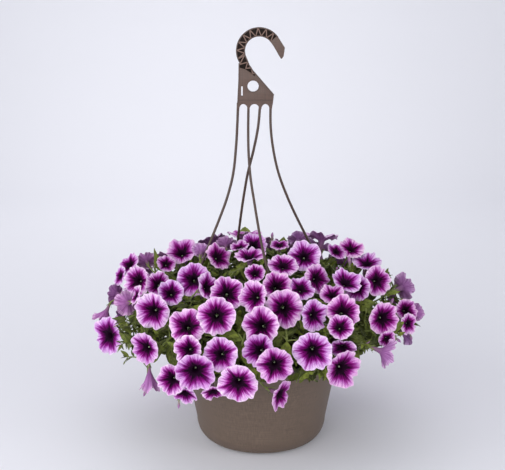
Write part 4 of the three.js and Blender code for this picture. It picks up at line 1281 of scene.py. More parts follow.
def seen_on_mound(x, y, behind=0.0):
    """The place on the mound that the camera sees at a pixel of the photograph, or nearest to it."""
    aside = (x - PICTURE_AXIS_X) * PIXEL
    height = (PICTURE_BASE_Y - y) * PIXEL
    target = Vector((aside, 0, 0)) + PICTURE_UP * height
    camera = Vector((VIEW_SHIFT, 0, 0)) + PICTURE_UP * VIEW_LIFT + TO_CAMERA * VIEW_DISTANCE
    sight = [camera.lerp(target, SIGHT_START + SIGHT_STEP * step) for step in range(SIGHT_STEPS)]
    inside = [place for place in sight if reach_in_mound(place) < 1]
    front = inside[0] if inside else min(sight, key=reach_in_mound)
    return front + (target - camera).normalized() * behind


def stem_stations():
    """Places along every stem and pedicel above the mix, with the plant that each is on."""
    stations = []
    for node, plant in read_plants().items():
        for line in (plant["stem"], *plant["pedicels"]):
            stations += [(node, place) for place in smooth_run(line, 5) if place.z > STEMS_FROM]
    return stations


def arc_between(start, goal, lift):
    """A gentle arch from a stem out to a goal."""
    elbow = (start + goal) / 2 + (Vector((0, 0, 1)) - out_of_mound(goal) * 0.3) * lift
    return [start * (1 - t) ** 2 + elbow * 2 * t * (1 - t) + goal * t ** 2
            for t in (step / TWIG_STEPS for step in range(TWIG_STEPS + 1))]


def grow_twig(goal, stations, draw, may_hang=False, plumb=0.0):
    """A twig from the nearest stem that it can leave without crossing a bloom, from above if it is plumb."""
    def farness(station):
        """How far a stem is, and farther for a plumb twig if it isn't right above."""
        way = station[1] - goal
        return way.length + plumb * abs(way.x)

    for node, start in sorted(stations, key=farness)[:TWIG_NEAREST:TWIG_SKIP]:
        gap = (start - goal).length
        if gap > TWIG_REACH:
            break
        if gap < TWIG_SHORTEST:
            continue
        line = arc_between(start, goal, gap * draw.uniform(*TWIG_LIFTS))
        if is_open(line[2:], may_hang):
            return node, line
    return None


def twig_leaves(line, length, width, draw, shares=LEAF_SHARES, may_hang=False):
    """Leaves up a twig, turning by the golden angle, left out where a bloom is in the way."""
    leaves = []
    turn = draw.uniform(0, 6)
    steps = len(line) - 1
    for place, share in enumerate(shares):
        spot = share * steps
        low = min(int(spot), steps - 1)
        base = line[low].lerp(line[low + 1], spot - low)
        run = (line[low + 1] - line[low]).normalized()
        outward = out_of_mound(base)
        for attempt in range(LEAF_TRIES):
            angle = turn + place * GOLDEN_ANGLE + attempt * LEAF_TRY_TURN
            side = Matrix.Rotation(angle, 3, run) @ side_of(run)
            way = (run * 0.5 + side * 0.85 + outward * 0.3).normalized()
            top = (outward * 0.6 + Vector((0, 0, 0.7)) - side * 0.2)
            top = (top - way * top.dot(way)).normalized()
            size = length * draw.uniform(*LEAF_SIZES) * (TIP_LEAF_SIZE if place == 0 else 1)
            leaf = {"base": base, "way": way, "top": top, "length": size, "width": width}
            if is_open(leaf_room(leaf), may_hang):
                leaves.append(leaf)
                break
    return leaves


def spread(step, count, start=0.0):
    """The step's place on a golden spiral down the mound, from its centre, and its rise from 1 at the top."""
    rise = 1 - (step + 0.5) / count * (1 - TWIG_LOWEST)
    level = math.sqrt(1 - rise * rise)
    turn = step * GOLDEN_ANGLE + start
    place = Vector((MOUND_RADIUS * level * math.cos(turn), MOUND_RADIUS * level * math.sin(turn),
                    mound_height(rise) * rise))
    return place, rise


@functools.lru_cache(maxsize=None)
def grown_twigs(count, length):
    """Twigs all over the mound by the golden angle, by the plant that each grows on."""
    draw = random.Random(TWIG_SEED)
    stations = stem_stations()
    grown = {node: [] for node in read_plants()}
    for step in range(count):
        place, rise = spread(step, count)
        shell = TWIG_SHELLS[step % len(TWIG_SHELLS)]
        if rise > TOP_RISE:
            shell = min(shell, TOP_SHELL)
        found = grow_twig(MOUND_CENTRE + shell * place, stations, draw)
        if not found:
            continue
        node, line = found
        grown[node].append((line, twig_leaves(line, length, draw.uniform(*LEAF_WIDTH), draw)))
    for x, y in SEEN_SPRIGS:
        found = grow_twig(seen_on_mound(x, y), stations, draw, may_hang=True)
        if found:
            leaves = twig_leaves(found[1], SPRIG_LENGTH, SPRIG_WIDTH, draw, SPRIG_SHARES, may_hang=True)
            grown[found[0]].append((found[1], leaves))
    return grown


# Buds, on pedicels of their own

BUD_SEED = 23
BUD_COUNT = 60
BUD_STEP = 0.006
BUD_STEPS = 8
BUD_PLUMB = 4
BUD_START = 2
BUD_SHELL = 0.93
BUD_SIZES = (0.55, 1.0)
BUD_SIDES = 10
BUD_TWIST = 0.09
BUD_RIBS = 0.12
BUD_SHOULDER = 20
BUD_PROFILE = (
    (1.3, 0), (1.9, 2.5), (1.7, 7), (1.9, 12), (2.9, 17), (3.3, 20.5), (2.5, 24), (1.0, 27), (0.15, 28.5),
)

# Buds that the photograph shows: the pixel of the foot, the way it points as degrees to the right and upwards
# of the line to the camera, its size, and the least that it hangs behind the mound's front
SEEN_BUDS = (
    (147, 385, -35, -65, 0.6, 0.05),
    (179, 396, -10, -85, 0.6, 0.03),
    (409.5, 330, 30, -70, 0.55, 0.01),
    (336.5, 272, 0, 30, 0.5, 0.0),
    (392, 334, 60, -40, 0.6, 0.01),
)


def bud_template(material):
    """A furled bud: a slim tube under a twisted, five-ribbed tip."""
    sleeve = Sleeve("bud_template", BUD_SIDES, len(BUD_PROFILE))
    turns = 2 * math.pi * np.arange(BUD_SIDES) / BUD_SIDES
    rings = []
    for radius, height in BUD_PROFILE:
        ribbed = 1 + BUD_RIBS * np.cos(LOBES * turns) * min(height / BUD_SHOULDER, 1)
        rings.append(ring_round(radius * ribbed, turns + BUD_TWIST * height, height) * MM)
    sleeve.shape(np.array(rings))
    top = BUD_PROFILE[-1][1]
    sleeve.paint("petal", lambda column: column * LOBES / BUD_SIDES, lambda row: BUD_PROFILE[row][1] / top)
    face_outwards(sleeve.obj)
    sleeve.obj.data.materials.append(material)
    return sleeve.obj


def facing(turn, rise):
    """A way given as degrees to the right and upwards of the line to the camera."""
    turn, rise = math.radians(turn), math.radians(rise)
    level = TO_CAMERA * math.cos(turn) + Vector((math.sin(turn), 0, 0))
    return (level * math.cos(rise) + PICTURE_UP * math.sin(rise)).normalized()


@functools.lru_cache(maxsize=None)
def grown_buds():
    """Buds over the mound wherever one fits between the blooms, by the plant that each grows on."""
    draw = random.Random(BUD_SEED)
    stations = stem_stations()
    grown = {node: [] for node in read_plants()}
    for step in range(BUD_COUNT):
        foot = MOUND_CENTRE + BUD_SHELL * spread(step, BUD_COUNT, BUD_START)[0]
        sway = Vector((draw.uniform(-1, 1), draw.uniform(-1, 1), draw.uniform(-0.2, 1)))
        way = (out_of_mound(foot) + sway * 0.6).normalized()
        size = draw.uniform(*BUD_SIZES)
        tip = foot + way * BUD_PROFILE[-1][1] * size * MM
        if not is_open([foot, (foot + tip) / 2, tip]):
            continue
        found = grow_twig(foot, stations, draw)
        if found:
            grown[found[0]].append((found[1], way, size))
    for x, y, turn, rise, size, behind in SEEN_BUDS:
        feet = [seen_on_mound(x, y, behind + BUD_STEP * step) for step in range(BUD_STEPS)]
        tries = (grow_twig(foot, stations, draw, may_hang=True, plumb=BUD_PLUMB) for foot in feet)
        found = next((found for found in tries if found), None)
        if not found:
            raise RuntimeError(f"no stem is near enough for the bud at pixel {x}, {y}")
        grown[found[0]].append((found[1], facing(turn, rise), size))
    return grown


# The pot and its mix, in mm

POT_UNDERSIDE = 76
POT_FOOT = 80
POT_SHOULDER = 101.6
POT_SHOULDER_HEIGHT = 33
POT_TOP = 122
POT_RIM = 127
POT_RIM_FOOT = 141
POT_RIM_INNER = 119.5
POT_WALL = 1.8
POT_FLOOR = 2.4
POT_SMOOTH = 35
DRAIN_COUNT = 4
DRAIN_CIRCLE = 58
DRAIN_RADIUS = 5
DRAIN_DRILL = 12
GROOVE = 1.4
GROOVE_HALF = 0.9
SHOULDER_STEPS = 22


def shoulder(share, foot, top, low, high):
    """A point of the pot's quarter-round shoulder."""
    turn = share * math.pi / 2
    return foot + (top - foot) * math.sin(turn), low + (high - low) * (1 - math.cos(turn))


def pot_profile(foot_line):
    """Radius and height of the pot's skin in mm, up the outside, over the rolled rim and down inside."""
    line = [(POT_UNDERSIDE, 0), (POT_FOOT - 1.6, 0.1), (POT_FOOT - 0.5, 0.8), (POT_FOOT, 2)]
    for step in range(1, SHOULDER_STEPS + 1):
        radius, height = shoulder(step / SHOULDER_STEPS, POT_FOOT, POT_SHOULDER, 2, POT_SHOULDER_HEIGHT)
        if abs(height - foot_line) < GROOVE_HALF:
            radius -= GROOVE
        line.append((radius, height))
    for share in (0.25, 0.5, 0.75, 0.97):
        line.append((POT_SHOULDER + (POT_TOP - POT_SHOULDER) * share,
                     POT_SHOULDER_HEIGHT + (POT_RIM_FOOT - POT_SHOULDER_HEIGHT) * share))
    line += [(POT_TOP + 0.2, 140.4), (POT_TOP + 1.2, 141), (POT_RIM - 1.4, 141), (POT_RIM - 0.4, 141.5),
             (POT_RIM, 142.6), (POT_RIM, 148.2), (POT_RIM - 0.4, 149.3), (POT_RIM - 1.5, 150),
             (POT_RIM_INNER + 1.2, 150), (POT_RIM_INNER + 0.3, 149.6), (POT_RIM_INNER, 148.8),
             (POT_RIM_INNER, 141)]
    for share in (0.7, 0.35, 0.02):
        line.append((POT_SHOULDER - POT_WALL + (POT_RIM_INNER - POT_SHOULDER + POT_WALL) * share,
                     POT_SHOULDER_HEIGHT + (POT_RIM_FOOT - POT_SHOULDER_HEIGHT) * share))
    for step in range(6, 0, -1):
        line.append(shoulder(step / 7, POT_FOOT - POT_WALL, POT_SHOULDER - POT_WALL,
                             POT_FLOOR + 2, POT_SHOULDER_HEIGHT - 2))
    line += [(POT_FOOT - POT_WALL, POT_FLOOR + 1.6), (POT_FOOT - POT_WALL - 1.5, POT_FLOOR)]
    return line


def drain_drill():
    """Upright rods where the drain holes go."""
    rods = []
    for place in range(DRAIN_COUNT):
        turn = 2 * math.pi * (place + 0.5) / DRAIN_COUNT
        spot = (DRAIN_CIRCLE * MM * math.cos(turn), DRAIN_CIRCLE * MM * math.sin(turn), 0)
        clear_selection()
        bpy.ops.mesh.primitive_cylinder_add(
            vertices=24, radius=DRAIN_RADIUS * MM, depth=DRAIN_DRILL * MM, location=spot)
        rods.append(bpy.context.object)
    return join(rods, "drain_drill")


class MESH_OT_basket_pot(bpy.types.Operator):
    """Build the moulded pot with its foot line, rolled rim and drain holes"""
    bl_idname = "mesh.basket_pot"
    bl_label = "Pot"

    def execute(self, context):
        settings = context.scene.basket_pot
        rings = turned_rings(pot_profile(settings.foot_line / MM), settings.sides)
        shell = ringed_part("pot_shell", settings.sides, rings)
        drill = drain_drill()
        take(shell)
        cut = shell.modifiers.new("drains", "BOOLEAN")
        cut.object = drill
        cut.solver = "EXACT"
        bpy.ops.object.modifier_apply(modifier=cut.name)
        throw_away(drill)
        shell.data.materials.append(moulded_plastic("pot_plastic", settings, 0.35))
        settle(shell, POT_SMOOTH)
        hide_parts("pot")
        return {"FINISHED"}


MIX_EDGE = 133
MIX_CROWN = 139
MIX_RADIUS = POT_RIM_INNER - 1.5
MIX_UNDER = ((74, 2.8), (88, 12), (98.8, 33), (MIX_RADIUS, MIX_EDGE - 4))
MIX_SIDES = 96
MIX_ROWS = 30
MIX_SMOOTH = 50
CHIP_SEED = 5
CHIP_RADIUS = 2.2
CHIP_SINK = 1.2


def mix_height(share):
    """The mix's level from its middle, 0, to its edge, 1."""
    return MIX_CROWN - 1.5 * min(share / 0.6, 1) - (MIX_CROWN - 1.5 - MIX_EDGE) * max(share - 0.6, 0) / 0.4


def bark_chips(count):
    """Bits of bark strewn over the mix, each a copy of one."""
    draw = random.Random(CHIP_SEED)
    clear_selection()
    bpy.ops.mesh.primitive_ico_sphere_add(subdivisions=1, radius=CHIP_RADIUS * MM)
    first = bpy.context.object
    chips = []
    for _ in range(count):
        chip = copy_of(first, "bark_chip")
        share = math.sqrt(draw.random())
        turn = draw.uniform(0, 2 * math.pi)
        away = share * MIX_RADIUS * 0.97 * MM
        chip.location = (away * math.cos(turn), away * math.sin(turn), (mix_height(share) - CHIP_SINK) * MM)
        chip.rotation_euler = (draw.uniform(-0.5, 0.5), draw.uniform(-0.5, 0.5), draw.uniform(0, 6))
        chip.scale = (draw.uniform(0.6, 1.7), draw.uniform(0.4, 1.0), draw.uniform(0.3, 0.7))
        chips.append(chip)
    throw_away(first)
    if chips:
        apply_place(*chips)
    return chips


class MESH_OT_basket_mix(bpy.types.Operator):
    """Build the lumpy potting mix with bits of bark on it"""
    bl_idname = "mesh.basket_mix"
    bl_label = "Potting mix"

    def execute(self, context):
        settings = context.scene.basket_mix
        shares = [1 - row / MIX_ROWS for row in range(MIX_ROWS)]
        profile = [*MIX_UNDER, *((MIX_RADIUS * share, mix_height(share)) for share in shares)]
        rings = np.array(turned_rings(profile, MIX_SIDES))
        for ring in rings[len(MIX_UNDER):]:
            for corner in ring:
                lump = noise.noise(Vector(corner) * 90) + 0.6 * noise.noise(Vector(corner) * 260)
                corner[2] += settings.lump * (lump - 0.5)
        body = ringed_part("mix_body", MIX_SIDES, rings)
        whole = join([body, *bark_chips(settings.chips)], "potting_mix_surface")
        whole.data.materials.append(damp_mix(settings))
        settle(whole, MIX_SMOOTH)
        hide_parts("potting_mix")
        return {"FINISHED"}


# The hanger: hook and plate, then strands and clips, in mm

PLATE_HALF = 2.0
WEB_HALF = 0.55
HOOK_INNER = 21
HOOK_OUTER = 34.5
HOOK_LOW, HOOK_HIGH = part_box("hanger_hook")
HOOK_X = HOOK_LOW[0] / MM + HOOK_OUTER
HOOK_Z = HOOK_HIGH[2] / MM - HOOK_OUTER
PLATE_FOOT = HOOK_LOW[2] / MM
HOOK_END_TURN = 37
HOOK_NECK_TURN = 195
HOOK_ROOT_TURN = 211
EYE = (-12.7, 555.3, 8.4)
EYE_RIM, EYE_RISE = 1.5, 0.3
SLIT = (-29.3, 548, 1.2, 7)
WEB_MARGIN = 0.4
PLATE_BEVEL, TIP_BEVEL, EYE_BEVEL, WEB_BEVEL = 0.45, 0.5, 0.4, 0.2
HANGER_SMOOTH = 35
RECESS_GLOSS = 0.08
ARCH_GAPS = ((-33.3, -21.2), (-17.8, -3.7), (-0.3, 11.6))
ARCH_SPRING = 521
ARCH_TOP = 528.6


def arc(x, z, across, up, start, end, steps=28):
    """Points along an arc or part of an oval, its turns in degrees."""
    turns = [math.radians(start + (end - start) * step / steps) for step in range(steps + 1)]
    return [(x + across * math.cos(turn), z + up * math.sin(turn)) for turn in turns]


def hook_point(radius, degrees):
    """A point that far from the middle of the hook's bend."""
    turn = math.radians(degrees)
    return HOOK_X + radius * math.cos(turn), HOOK_Z + radius * math.sin(turn)


def hook_arc(radius, start, end):
    """Points round the hook's bend."""
    return arc(HOOK_X, HOOK_Z, radius, radius, start, end)


def eye_circle(grow=0.0):
    """The eye's edge, or a wider circle round it."""
    x, z, radius = EYE
    return arc(x, z, radius + grow, radius + grow, 0, 348, 29)


def slit_outline():
    """The slit's four corners."""
    x, z, half, tall = SLIT
    return [(x - half, z - tall), (x + half, z - tall), (x + half, z + tall), (x - half, z + tall)]


def flat_piece(name, outlines, half_depth, bevel):
    """A flat plate standing in the XZ plane, with rounded edges, from its outline and its holes, in mm."""
    curve = bpy.data.curves.new(name, "CURVE")
    curve.dimensions = "2D"
    curve.fill_mode = "BOTH"
    curve.extrude = (half_depth - bevel) * MM
    curve.bevel_depth = bevel * MM
    curve.bevel_resolution = 2
    curve.offset = -bevel * MM
    for outline in outlines:
        spline = curve.splines.new("POLY")
        spline.points.add(len(outline) - 1)
        spline.use_cyclic_u = True
        for knot, (x, z) in zip(spline.points, outline):
            knot.co = (x * MM, z * MM, 0, 1)
    made = mesh_of(name, curve)
    made.rotation_euler.x = math.pi / 2
    apply_place(made)
    face_outwards(made, weld=True)
    return made


def bar(name, start, end, width, half_depth, bevel=0.3):
    """A straight rib between two places of the hook."""
    way = Vector((end[0] - start[0], end[1] - start[1])).normalized() * width / 2
    side = Vector((-way.y, way.x))
    first, last = Vector(start) - way, Vector(end) + way
    outline = [tuple(first + side), tuple(first - side), tuple(last - side), tuple(last + side)]
    return flat_piece(name, [outline], half_depth, bevel)


def plate_outline():
    """The smooth plate's outline: its arched foot, its sides and its curved top under the ribs."""
    line = [(-36.9, ARCH_SPRING)]
    for low, high in ARCH_GAPS:
        middle, half = (low + high) / 2, (high - low) / 2
        line += arc(middle, ARCH_SPRING, half, ARCH_TOP - ARCH_SPRING, 180, 0, 14)
    line += [(15.2, ARCH_SPRING), (16.9, PLATE_FOOT), (18.3, 543), (-8.0, 573.3)]
    line += [(-11.0, 570.4), (-16.3, 575.4), (-24.1, 580.4), (-31.5, 582.6), (-34.2, 584), (-34.5, 565.1)]
    return line


def band_outline(grow=0.0):
    """The hook's curved band from the plate round to its tip."""
    inner = hook_arc(HOOK_INNER - grow, HOOK_NECK_TURN, HOOK_END_TURN)
    outer = hook_arc(HOOK_OUTER + grow, HOOK_END_TURN, HOOK_ROOT_TURN)
    return [(-33.9, 575), (-11, 566), (-5.9, 569.8), (-13, 578), (-17.9, 585.7), *inner, *outer]


def tip_outline():
    """The hook's solid tip, from the inside of the band's end round to its outside."""
    inner, outer = hook_point(HOOK_INNER, HOOK_END_TURN + 3), hook_point(HOOK_OUTER, HOOK_END_TURN + 3)
    return [inner, (17, 615), (28.0, 596.2), (29.6, 595.8), (32.4, 599.6), (34.1, 612), outer]


# The straight raised edges: name, both ends, and how far each stands over the plate
RIM_BEVEL = 0.4
STRAIGHT_RIMS = (
    ("upper_neck_rim", (-24.6, 601), (-18.4, 586), 0.0),
    ("lower_neck_rim", (-18.4, 586), (-13.3, 578.2), 0.0),
    ("right_rim", (-13.3, 578.2), (17.3, 542.8), 0.35),
    ("left_rim", (-33.4, 588), (-33.7, 566), 0.35),
    ("side_rim", (-33.7, 566), (-35.5, 530.6), 0.35),
    ("foot_rim", (-34, 534.5), (16, 534.5), 0.3),
)


def rims(width):
    """The raised edges of the hook's band and of the plate."""
    outer = hook_arc(HOOK_OUTER, HOOK_END_TURN, HOOK_ROOT_TURN)
    outer += hook_arc(HOOK_OUTER - width, HOOK_ROOT_TURN, HOOK_END_TURN)
    inner = hook_arc(HOOK_INNER, HOOK_NECK_TURN, HOOK_END_TURN)
    inner += hook_arc(HOOK_INNER + width, HOOK_END_TURN, HOOK_NECK_TURN)
    parts = [
        flat_piece("outer_rim", [outer], PLATE_HALF, RIM_BEVEL),
        flat_piece("inner_rim", [inner], PLATE_HALF, RIM_BEVEL),
    ]
    for name, start, end, rise in STRAIGHT_RIMS:
        parts.append(bar(name, start, end, width, PLATE_HALF + rise))
    return parts


RIB_WIDTH = 1.5
RIB_SINK = 0.3
RIB_BEVEL = 0.25
RIB_START_TURN = 200
NECK_ZIGZAG = (
    (-35.2, 595.6), (-25.6, 600.6), (-32.6, 587.4), (-20.8, 591), (-23.4, 581.8), (-15.6, 582.4),
    (-13.4, 573.6), (-9.4, 574),
)


def zigzag(name, spots):
    """A rib from each of these places to the next."""
    return [bar(f"{name}_{place}", first, last, RIB_WIDTH, PLATE_HALF - RIB_SINK, RIB_BEVEL)
            for place, (first, last) in enumerate(zip(spots, spots[1:]))]


def hook_ribs(count, width):
    """The zigzag between the band's two raised edges, and the ribs of its neck."""
    inner, outer = HOOK_INNER + width / 2, HOOK_OUTER - width / 2
    whole_turn = HOOK_END_TURN + 3 - RIB_START_TURN
    spots = [hook_point(inner if step % 2 else outer, RIB_START_TURN + whole_turn * step / count)
             for step in range(count + 1)]
    return zigzag("rib", spots) + zigzag("neck_rib", NECK_ZIGZAG)


class MESH_OT_basket_hook(bpy.types.Operator):
    """Build the flat hook with its raised edges and zigzag ribs, and its plate with an eye and a slit"""
    bl_idname = "mesh.basket_hook"
    bl_label = "Hook and plate"

    def execute(self, context):
        settings = context.scene.basket_hanger
        plate = [
            flat_piece("plate", [plate_outline(), eye_circle(), slit_outline()], PLATE_HALF, PLATE_BEVEL),
            flat_piece("hook_tip", [tip_outline()], PLATE_HALF, TIP_BEVEL),
            flat_piece("eye_ring", [eye_circle(EYE_RIM), eye_circle()], PLATE_HALF + EYE_RISE, EYE_BEVEL),
        ]
        edges = rims(settings.rim_width / MM)
        ribs = hook_ribs(settings.rib_count, settings.rim_width / MM)
        web = [flat_piece("band_web", [band_outline(-WEB_MARGIN)], WEB_HALF, WEB_BEVEL)]
        paint_all(plate, moulded_plastic("hanger_plastic", settings, 0.25))
        # Painted shade: the raised edges get a darker copy of the same plastic
        paint_all(edges, moulded_plastic("hanger_edge", settings, 0.2, settings.edge_painted_shade))
        # Painted highlight: the ribs get a much lighter copy of the same plastic
        paint_all(ribs, moulded_plastic("hanger_rib", settings, 0.2, settings.rib_painted_highlight))
        # Painted shade: the recess web is a much darker copy of the same plastic, for the shade that fills
        # the recess
        paint_all(web, moulded_plastic("hanger_recess", settings, 0.25, settings.recess_painted_shade, RECESS_GLOSS))
        whole = join([*plate, *edges, *ribs, *web], "hanger_hook_moulding")
        settle(whole, HANGER_SMOOTH)
        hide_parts("hanger_hook")
        return {"FINISHED"}


STRAND_RADIUS = 2.0
STRAND_SIDES = 5
STRAND_SMOOTH = 40
CLIP_DROP = 4
SEAT_REACH = 12
CLIP_WIDTH = 9
CLIP_WALL = 2.5
CLIP_BEVEL = 0.5
CLIP_GAP = 0.3
CLIP_PLAY = 0.5
SEAT_HEIGHT = 151.25
SEAT_RADIUS = 125


def strand_line(node):
    """A strand's middle line from the plate down to its clip, read ring by ring from its solid."""
    points, meets = merged(node)
    ring = sorted(range(len(points)), key=lambda corner: -points[corner].z)[:STRAND_SIDES]
    done = set(ring)
    line = [middle_of([points[corner] for corner in ring])]
    while True:
        ring = {near for corner in ring for near in meets[corner]} - done
        if len(ring) != STRAND_SIDES:
            break
        done |= ring
        line.append(middle_of([points[corner] for corner in ring]))
    foot = middle_of([point for point in points if point.z < POT_HEIGHT - CLIP_DROP * MM])
    turn = math.atan2(foot.y, foot.x)
    seat = Vector((SEAT_RADIUS * math.cos(turn), SEAT_RADIUS * math.sin(turn), SEAT_HEIGHT)) * MM
    line[-1:] = [seat] if (line[-1] - seat).length < SEAT_REACH * MM else [line[-1], seat]
    return line, turn


def clip_outline():
    """The clip's section, as radius and height: a hook over the rim and under it."""
    outside, inside = POT_RIM + CLIP_GAP, POT_RIM_INNER - CLIP_GAP - CLIP_PLAY
    foot, top = POT_RIM_FOOT - CLIP_GAP, POT_HEIGHT / MM + CLIP_GAP
    wall = CLIP_WALL
    return [(outside - wall, foot - wall), (outside + wall, foot - wall), (outside + wall, top + wall),
            (inside - wall, top + wall), (inside - wall, foot + wall), (inside, foot + wall), (inside, top),
            (outside, top), (outside, foot), (outside - wall, foot)]


class MESH_OT_basket_strands(bpy.types.Operator):
    """Build the four round strands and the clips that hold them on the rim"""
    bl_idname = "mesh.basket_strands"
    bl_label = "Strands and clips"

    def execute(self, context):
        settings = context.scene.basket_hanger
        # Painted shade: strands and clips get a darker copy of the hanger's plastic
        plastic = moulded_plastic("strand_plastic", settings, 0.15, settings.strand_painted_shade)
        for node in sorted(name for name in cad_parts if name.startswith("hanger_strand")):
            line, turn = strand_line(node)
            run = smooth_run(line, 7)
            strand = round_runs("strand", [(run, [STRAND_RADIUS * MM] * len(run))], 3)
            clip = flat_piece("clip", [clip_outline()], CLIP_WIDTH / 2, CLIP_BEVEL)
            clip.rotation_euler.z = turn
            apply_place(clip)
            paint_all((strand, clip), plastic)
            whole = join([strand, clip], node.replace("hanger_strand", "strand") + "_moulding")
            settle(whole, STRAND_SMOOTH)
            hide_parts(node)
        return {"FINISHED"}


# The plants

# The span that hearts and calyxes are modelled for, and how deep in its throat a heart sits, in spans
USUAL_SPAN = 0.05
HEART_DEPTHS = (0.02, 0.1)

# Leaves' tones, from 0 for the oldest to 1 for the youngest: paler on twigs that reach further out
BRIGHT_LEAVES = 0.18
SHOOT_TONES = (0.2, 0.8)
TWIG_TONE, TWIG_TONE_RISE, TWIG_TONE_FROM = 0.35, 0.6, 0.6

# Radii of the stalks, and a twig's and its taper in mm
STEM_RADIUS, PEDICEL_RADIUS, BUD_STALK_RADIUS = 1.7 * MM, 1.15 * MM, 0.85 * MM
TWIG_RADIUS, TWIG_TAPER = 1.25, 0.6

# A bud's seat past its stalk's end and the stalk's last stretch, in mm, and its calyx's size
BUD_SEAT, BUD_BEND, BUD_CALYX = 1.5, 2, 0.9
PETAL_SMOOTH, GREEN_SMOOTH = 55, 60


class Templates:
    """Small parts that are modelled once and copied on to every plant."""

    def __init__(self, scene):
        blooms, leaves = scene.basket_blooms, scene.basket_leaves
        self.stem = stem_finish()
        self.bloom = bloom_template([petal_face(blooms), petal_back(blooms)])
        self.heart = heart_template(heart_finish())
        self.calyx = calyx_template(self.stem)
        self.bud = bud_template(bud_finish())
        self.leaf = leaf_template(leaf_finish(leaves))

    def throw_away(self):
        """Deletes them when every plant has its copies."""
        throw_away(self.bloom.obj, self.heart, self.calyx, self.bud, self.leaf.obj)


def leaf_objects(templates, leaves, draw, tone_range):
    """The leaves as objects, some of them young and bright."""
    made = []
    for leaf in leaves:
        obj = copy_of(templates.leaf.obj, "leaf")
        templates.leaf.shape(leaf_places(leaf, draw), obj.data)
        tone = 1.0 if draw.random() < BRIGHT_LEAVES else draw.uniform(*tone_range)
        give_tone(obj.data, tone)
        made.append(obj)
    return made


def green_runs(plant, twigs, buds):
    """The lines and radii of a plant's stem, pedicels, twigs and bud stalks."""
    stem = smooth_run(plant["stem"], 4)
    runs = [(stem, [STEM_RADIUS] * len(stem))]
    for line in plant["pedicels"]:
        run = smooth_run(line, 5) if len(line) > 2 else line
        runs.append((run, [PEDICEL_RADIUS] * len(run)))
    for line, _ in twigs:
        runs.append((line, [(TWIG_RADIUS - TWIG_TAPER * step / len(line)) * MM for step in range(len(line))]))
    for line, way, _ in buds:
        stalk = [*line[:-1], line[-1] - way * BUD_BEND * MM, line[-1]]
        runs.append((stalk, [BUD_STALK_RADIUS] * len(stalk)))
    return runs


def greens_of(templates, plant, twigs, buds, draw, name):
    """A plant's stems, calyxes and leaves in one piece."""
    leaves = leaf_objects(templates, plant["leaves"], draw, SHOOT_TONES)
    for line, twig_blades in twigs:
        palest = TWIG_TONE + TWIG_TONE_RISE * max(reach_in_mound(line[-1]) - TWIG_TONE_FROM, 0)
        leaves += leaf_objects(templates, twig_blades, draw, (0.0, palest))
    stalks = round_runs("stalks", green_runs(plant, twigs, buds), 1)
    stalks.data.materials.append(templates.stem)
    cups = []
    for bloom in plant["blooms"]:
        cups.append(set_on(templates.calyx, "calyx", tube_end(bloom), bloom["midrib"], bloom["axis"],
                           bloom["span"] / USUAL_SPAN))
    for line, way, size in buds:
        cups.append(set_on(templates.calyx, "calyx", line[-1], side_of(way), way, size * BUD_CALYX))
    return join(leaves + cups + [stalks], name)


def bud_objects(templates, buds, draw):
    """The buds as objects, each on the end of its stalk."""
    made = []
    for line, way, size in buds:
        bud = set_on(templates.bud, "bud", line[-1] + way * BUD_SEAT * MM, side_of(way), way, size)
        give_tone(bud.data, draw.random())
        made.append(bud)
    return made


def petals_of(templates, plant, buds, settings, draw, name):
    """A plant's blooms, each with its heart, and its buds in one piece."""
    parts = []
    for bloom in plant["blooms"]:
        petals = copy_of(templates.bloom.obj, "bloom")
        templates.bloom.shape(bloom_places(bloom, settings, draw), petals.data)
        give_tone(petals.data, draw.random())
        seat = bloom["throat"] - bloom["axis"] * draw.uniform(*HEART_DEPTHS) * bloom["span"]
        size = bloom["span"] / USUAL_SPAN
        parts += [petals, set_on(templates.heart, "heart", seat, bloom["midrib"], bloom["axis"], size)]
    return join(parts + bud_objects(templates, buds, draw), name)


class MESH_OT_basket_sprays(bpy.types.Operator):
    """Build the flowering stems: petals, hearts and buds in one piece, and greens in another, for each"""
    bl_idname = "mesh.basket_sprays"
    bl_label = "Flowering stems"

    def execute(self, context):
        settings, leaves = context.scene.basket_blooms, context.scene.basket_leaves
        templates = Templates(context.scene)
        twigs = grown_twigs(leaves.twigs, leaves.length)
        buds = grown_buds()
        for node, plant in read_plants().items():
            draw = random.Random(node)
            number = node[-2:]
            name = f"shoot_{number}_leaves"
            if plant["blooms"]:
                name = f"spray_{number}_greens"
                petals = petals_of(templates, plant, buds[node], settings, draw, f"spray_{number}_petals")
                settle(petals, PETAL_SMOOTH)
                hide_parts(node)
            whole = greens_of(templates, plant, twigs[node], buds[node], draw, name)
            if buds[node] and not plant["blooms"]:
                whole = join([whole, *bud_objects(templates, buds[node], draw)], name)
            settle(whole, GREEN_SMOOTH)
            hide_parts(node)
        templates.throw_away()
        return {"FINISHED"}


# The stage

SWEEP_FRONT = -4.0
SWEEP_BACK = 1.6
SWEEP_RADIUS = 1.2
SWEEP_HALF = 5.0
SWEEP_TOP = 5.0
SWEEP_STEPS = 16
SWEEP_SMOOTH = 30

# Each soft light's place, what it points at, and its size; its power is the stage's setting of that name
LIGHTS = {
    "overhead": ((-0.2, -0.3, 2.4), (0, 0, 0.2), (2.4, 2.4)),
    "left": ((-2.0, -0.9, 1.1), (-0.1, 0, 0.1), (1.6, 1.6)),
    "front": ((-0.7, -2.6, 1.0), (0, 0, 0.2), (2.4, 1.6)),
    "right": ((2.4, -1.4, 0.9), (0, 0, 0.2), (1.6, 1.4)),
    "backdrop": ((-0.15, 1.5, 1.1), (-0.15, 1.8, 0.1), (0.9, 0.6)),
}
SKY = (0.93, 0.95, 1.0, 1)
CLIP_END = 30


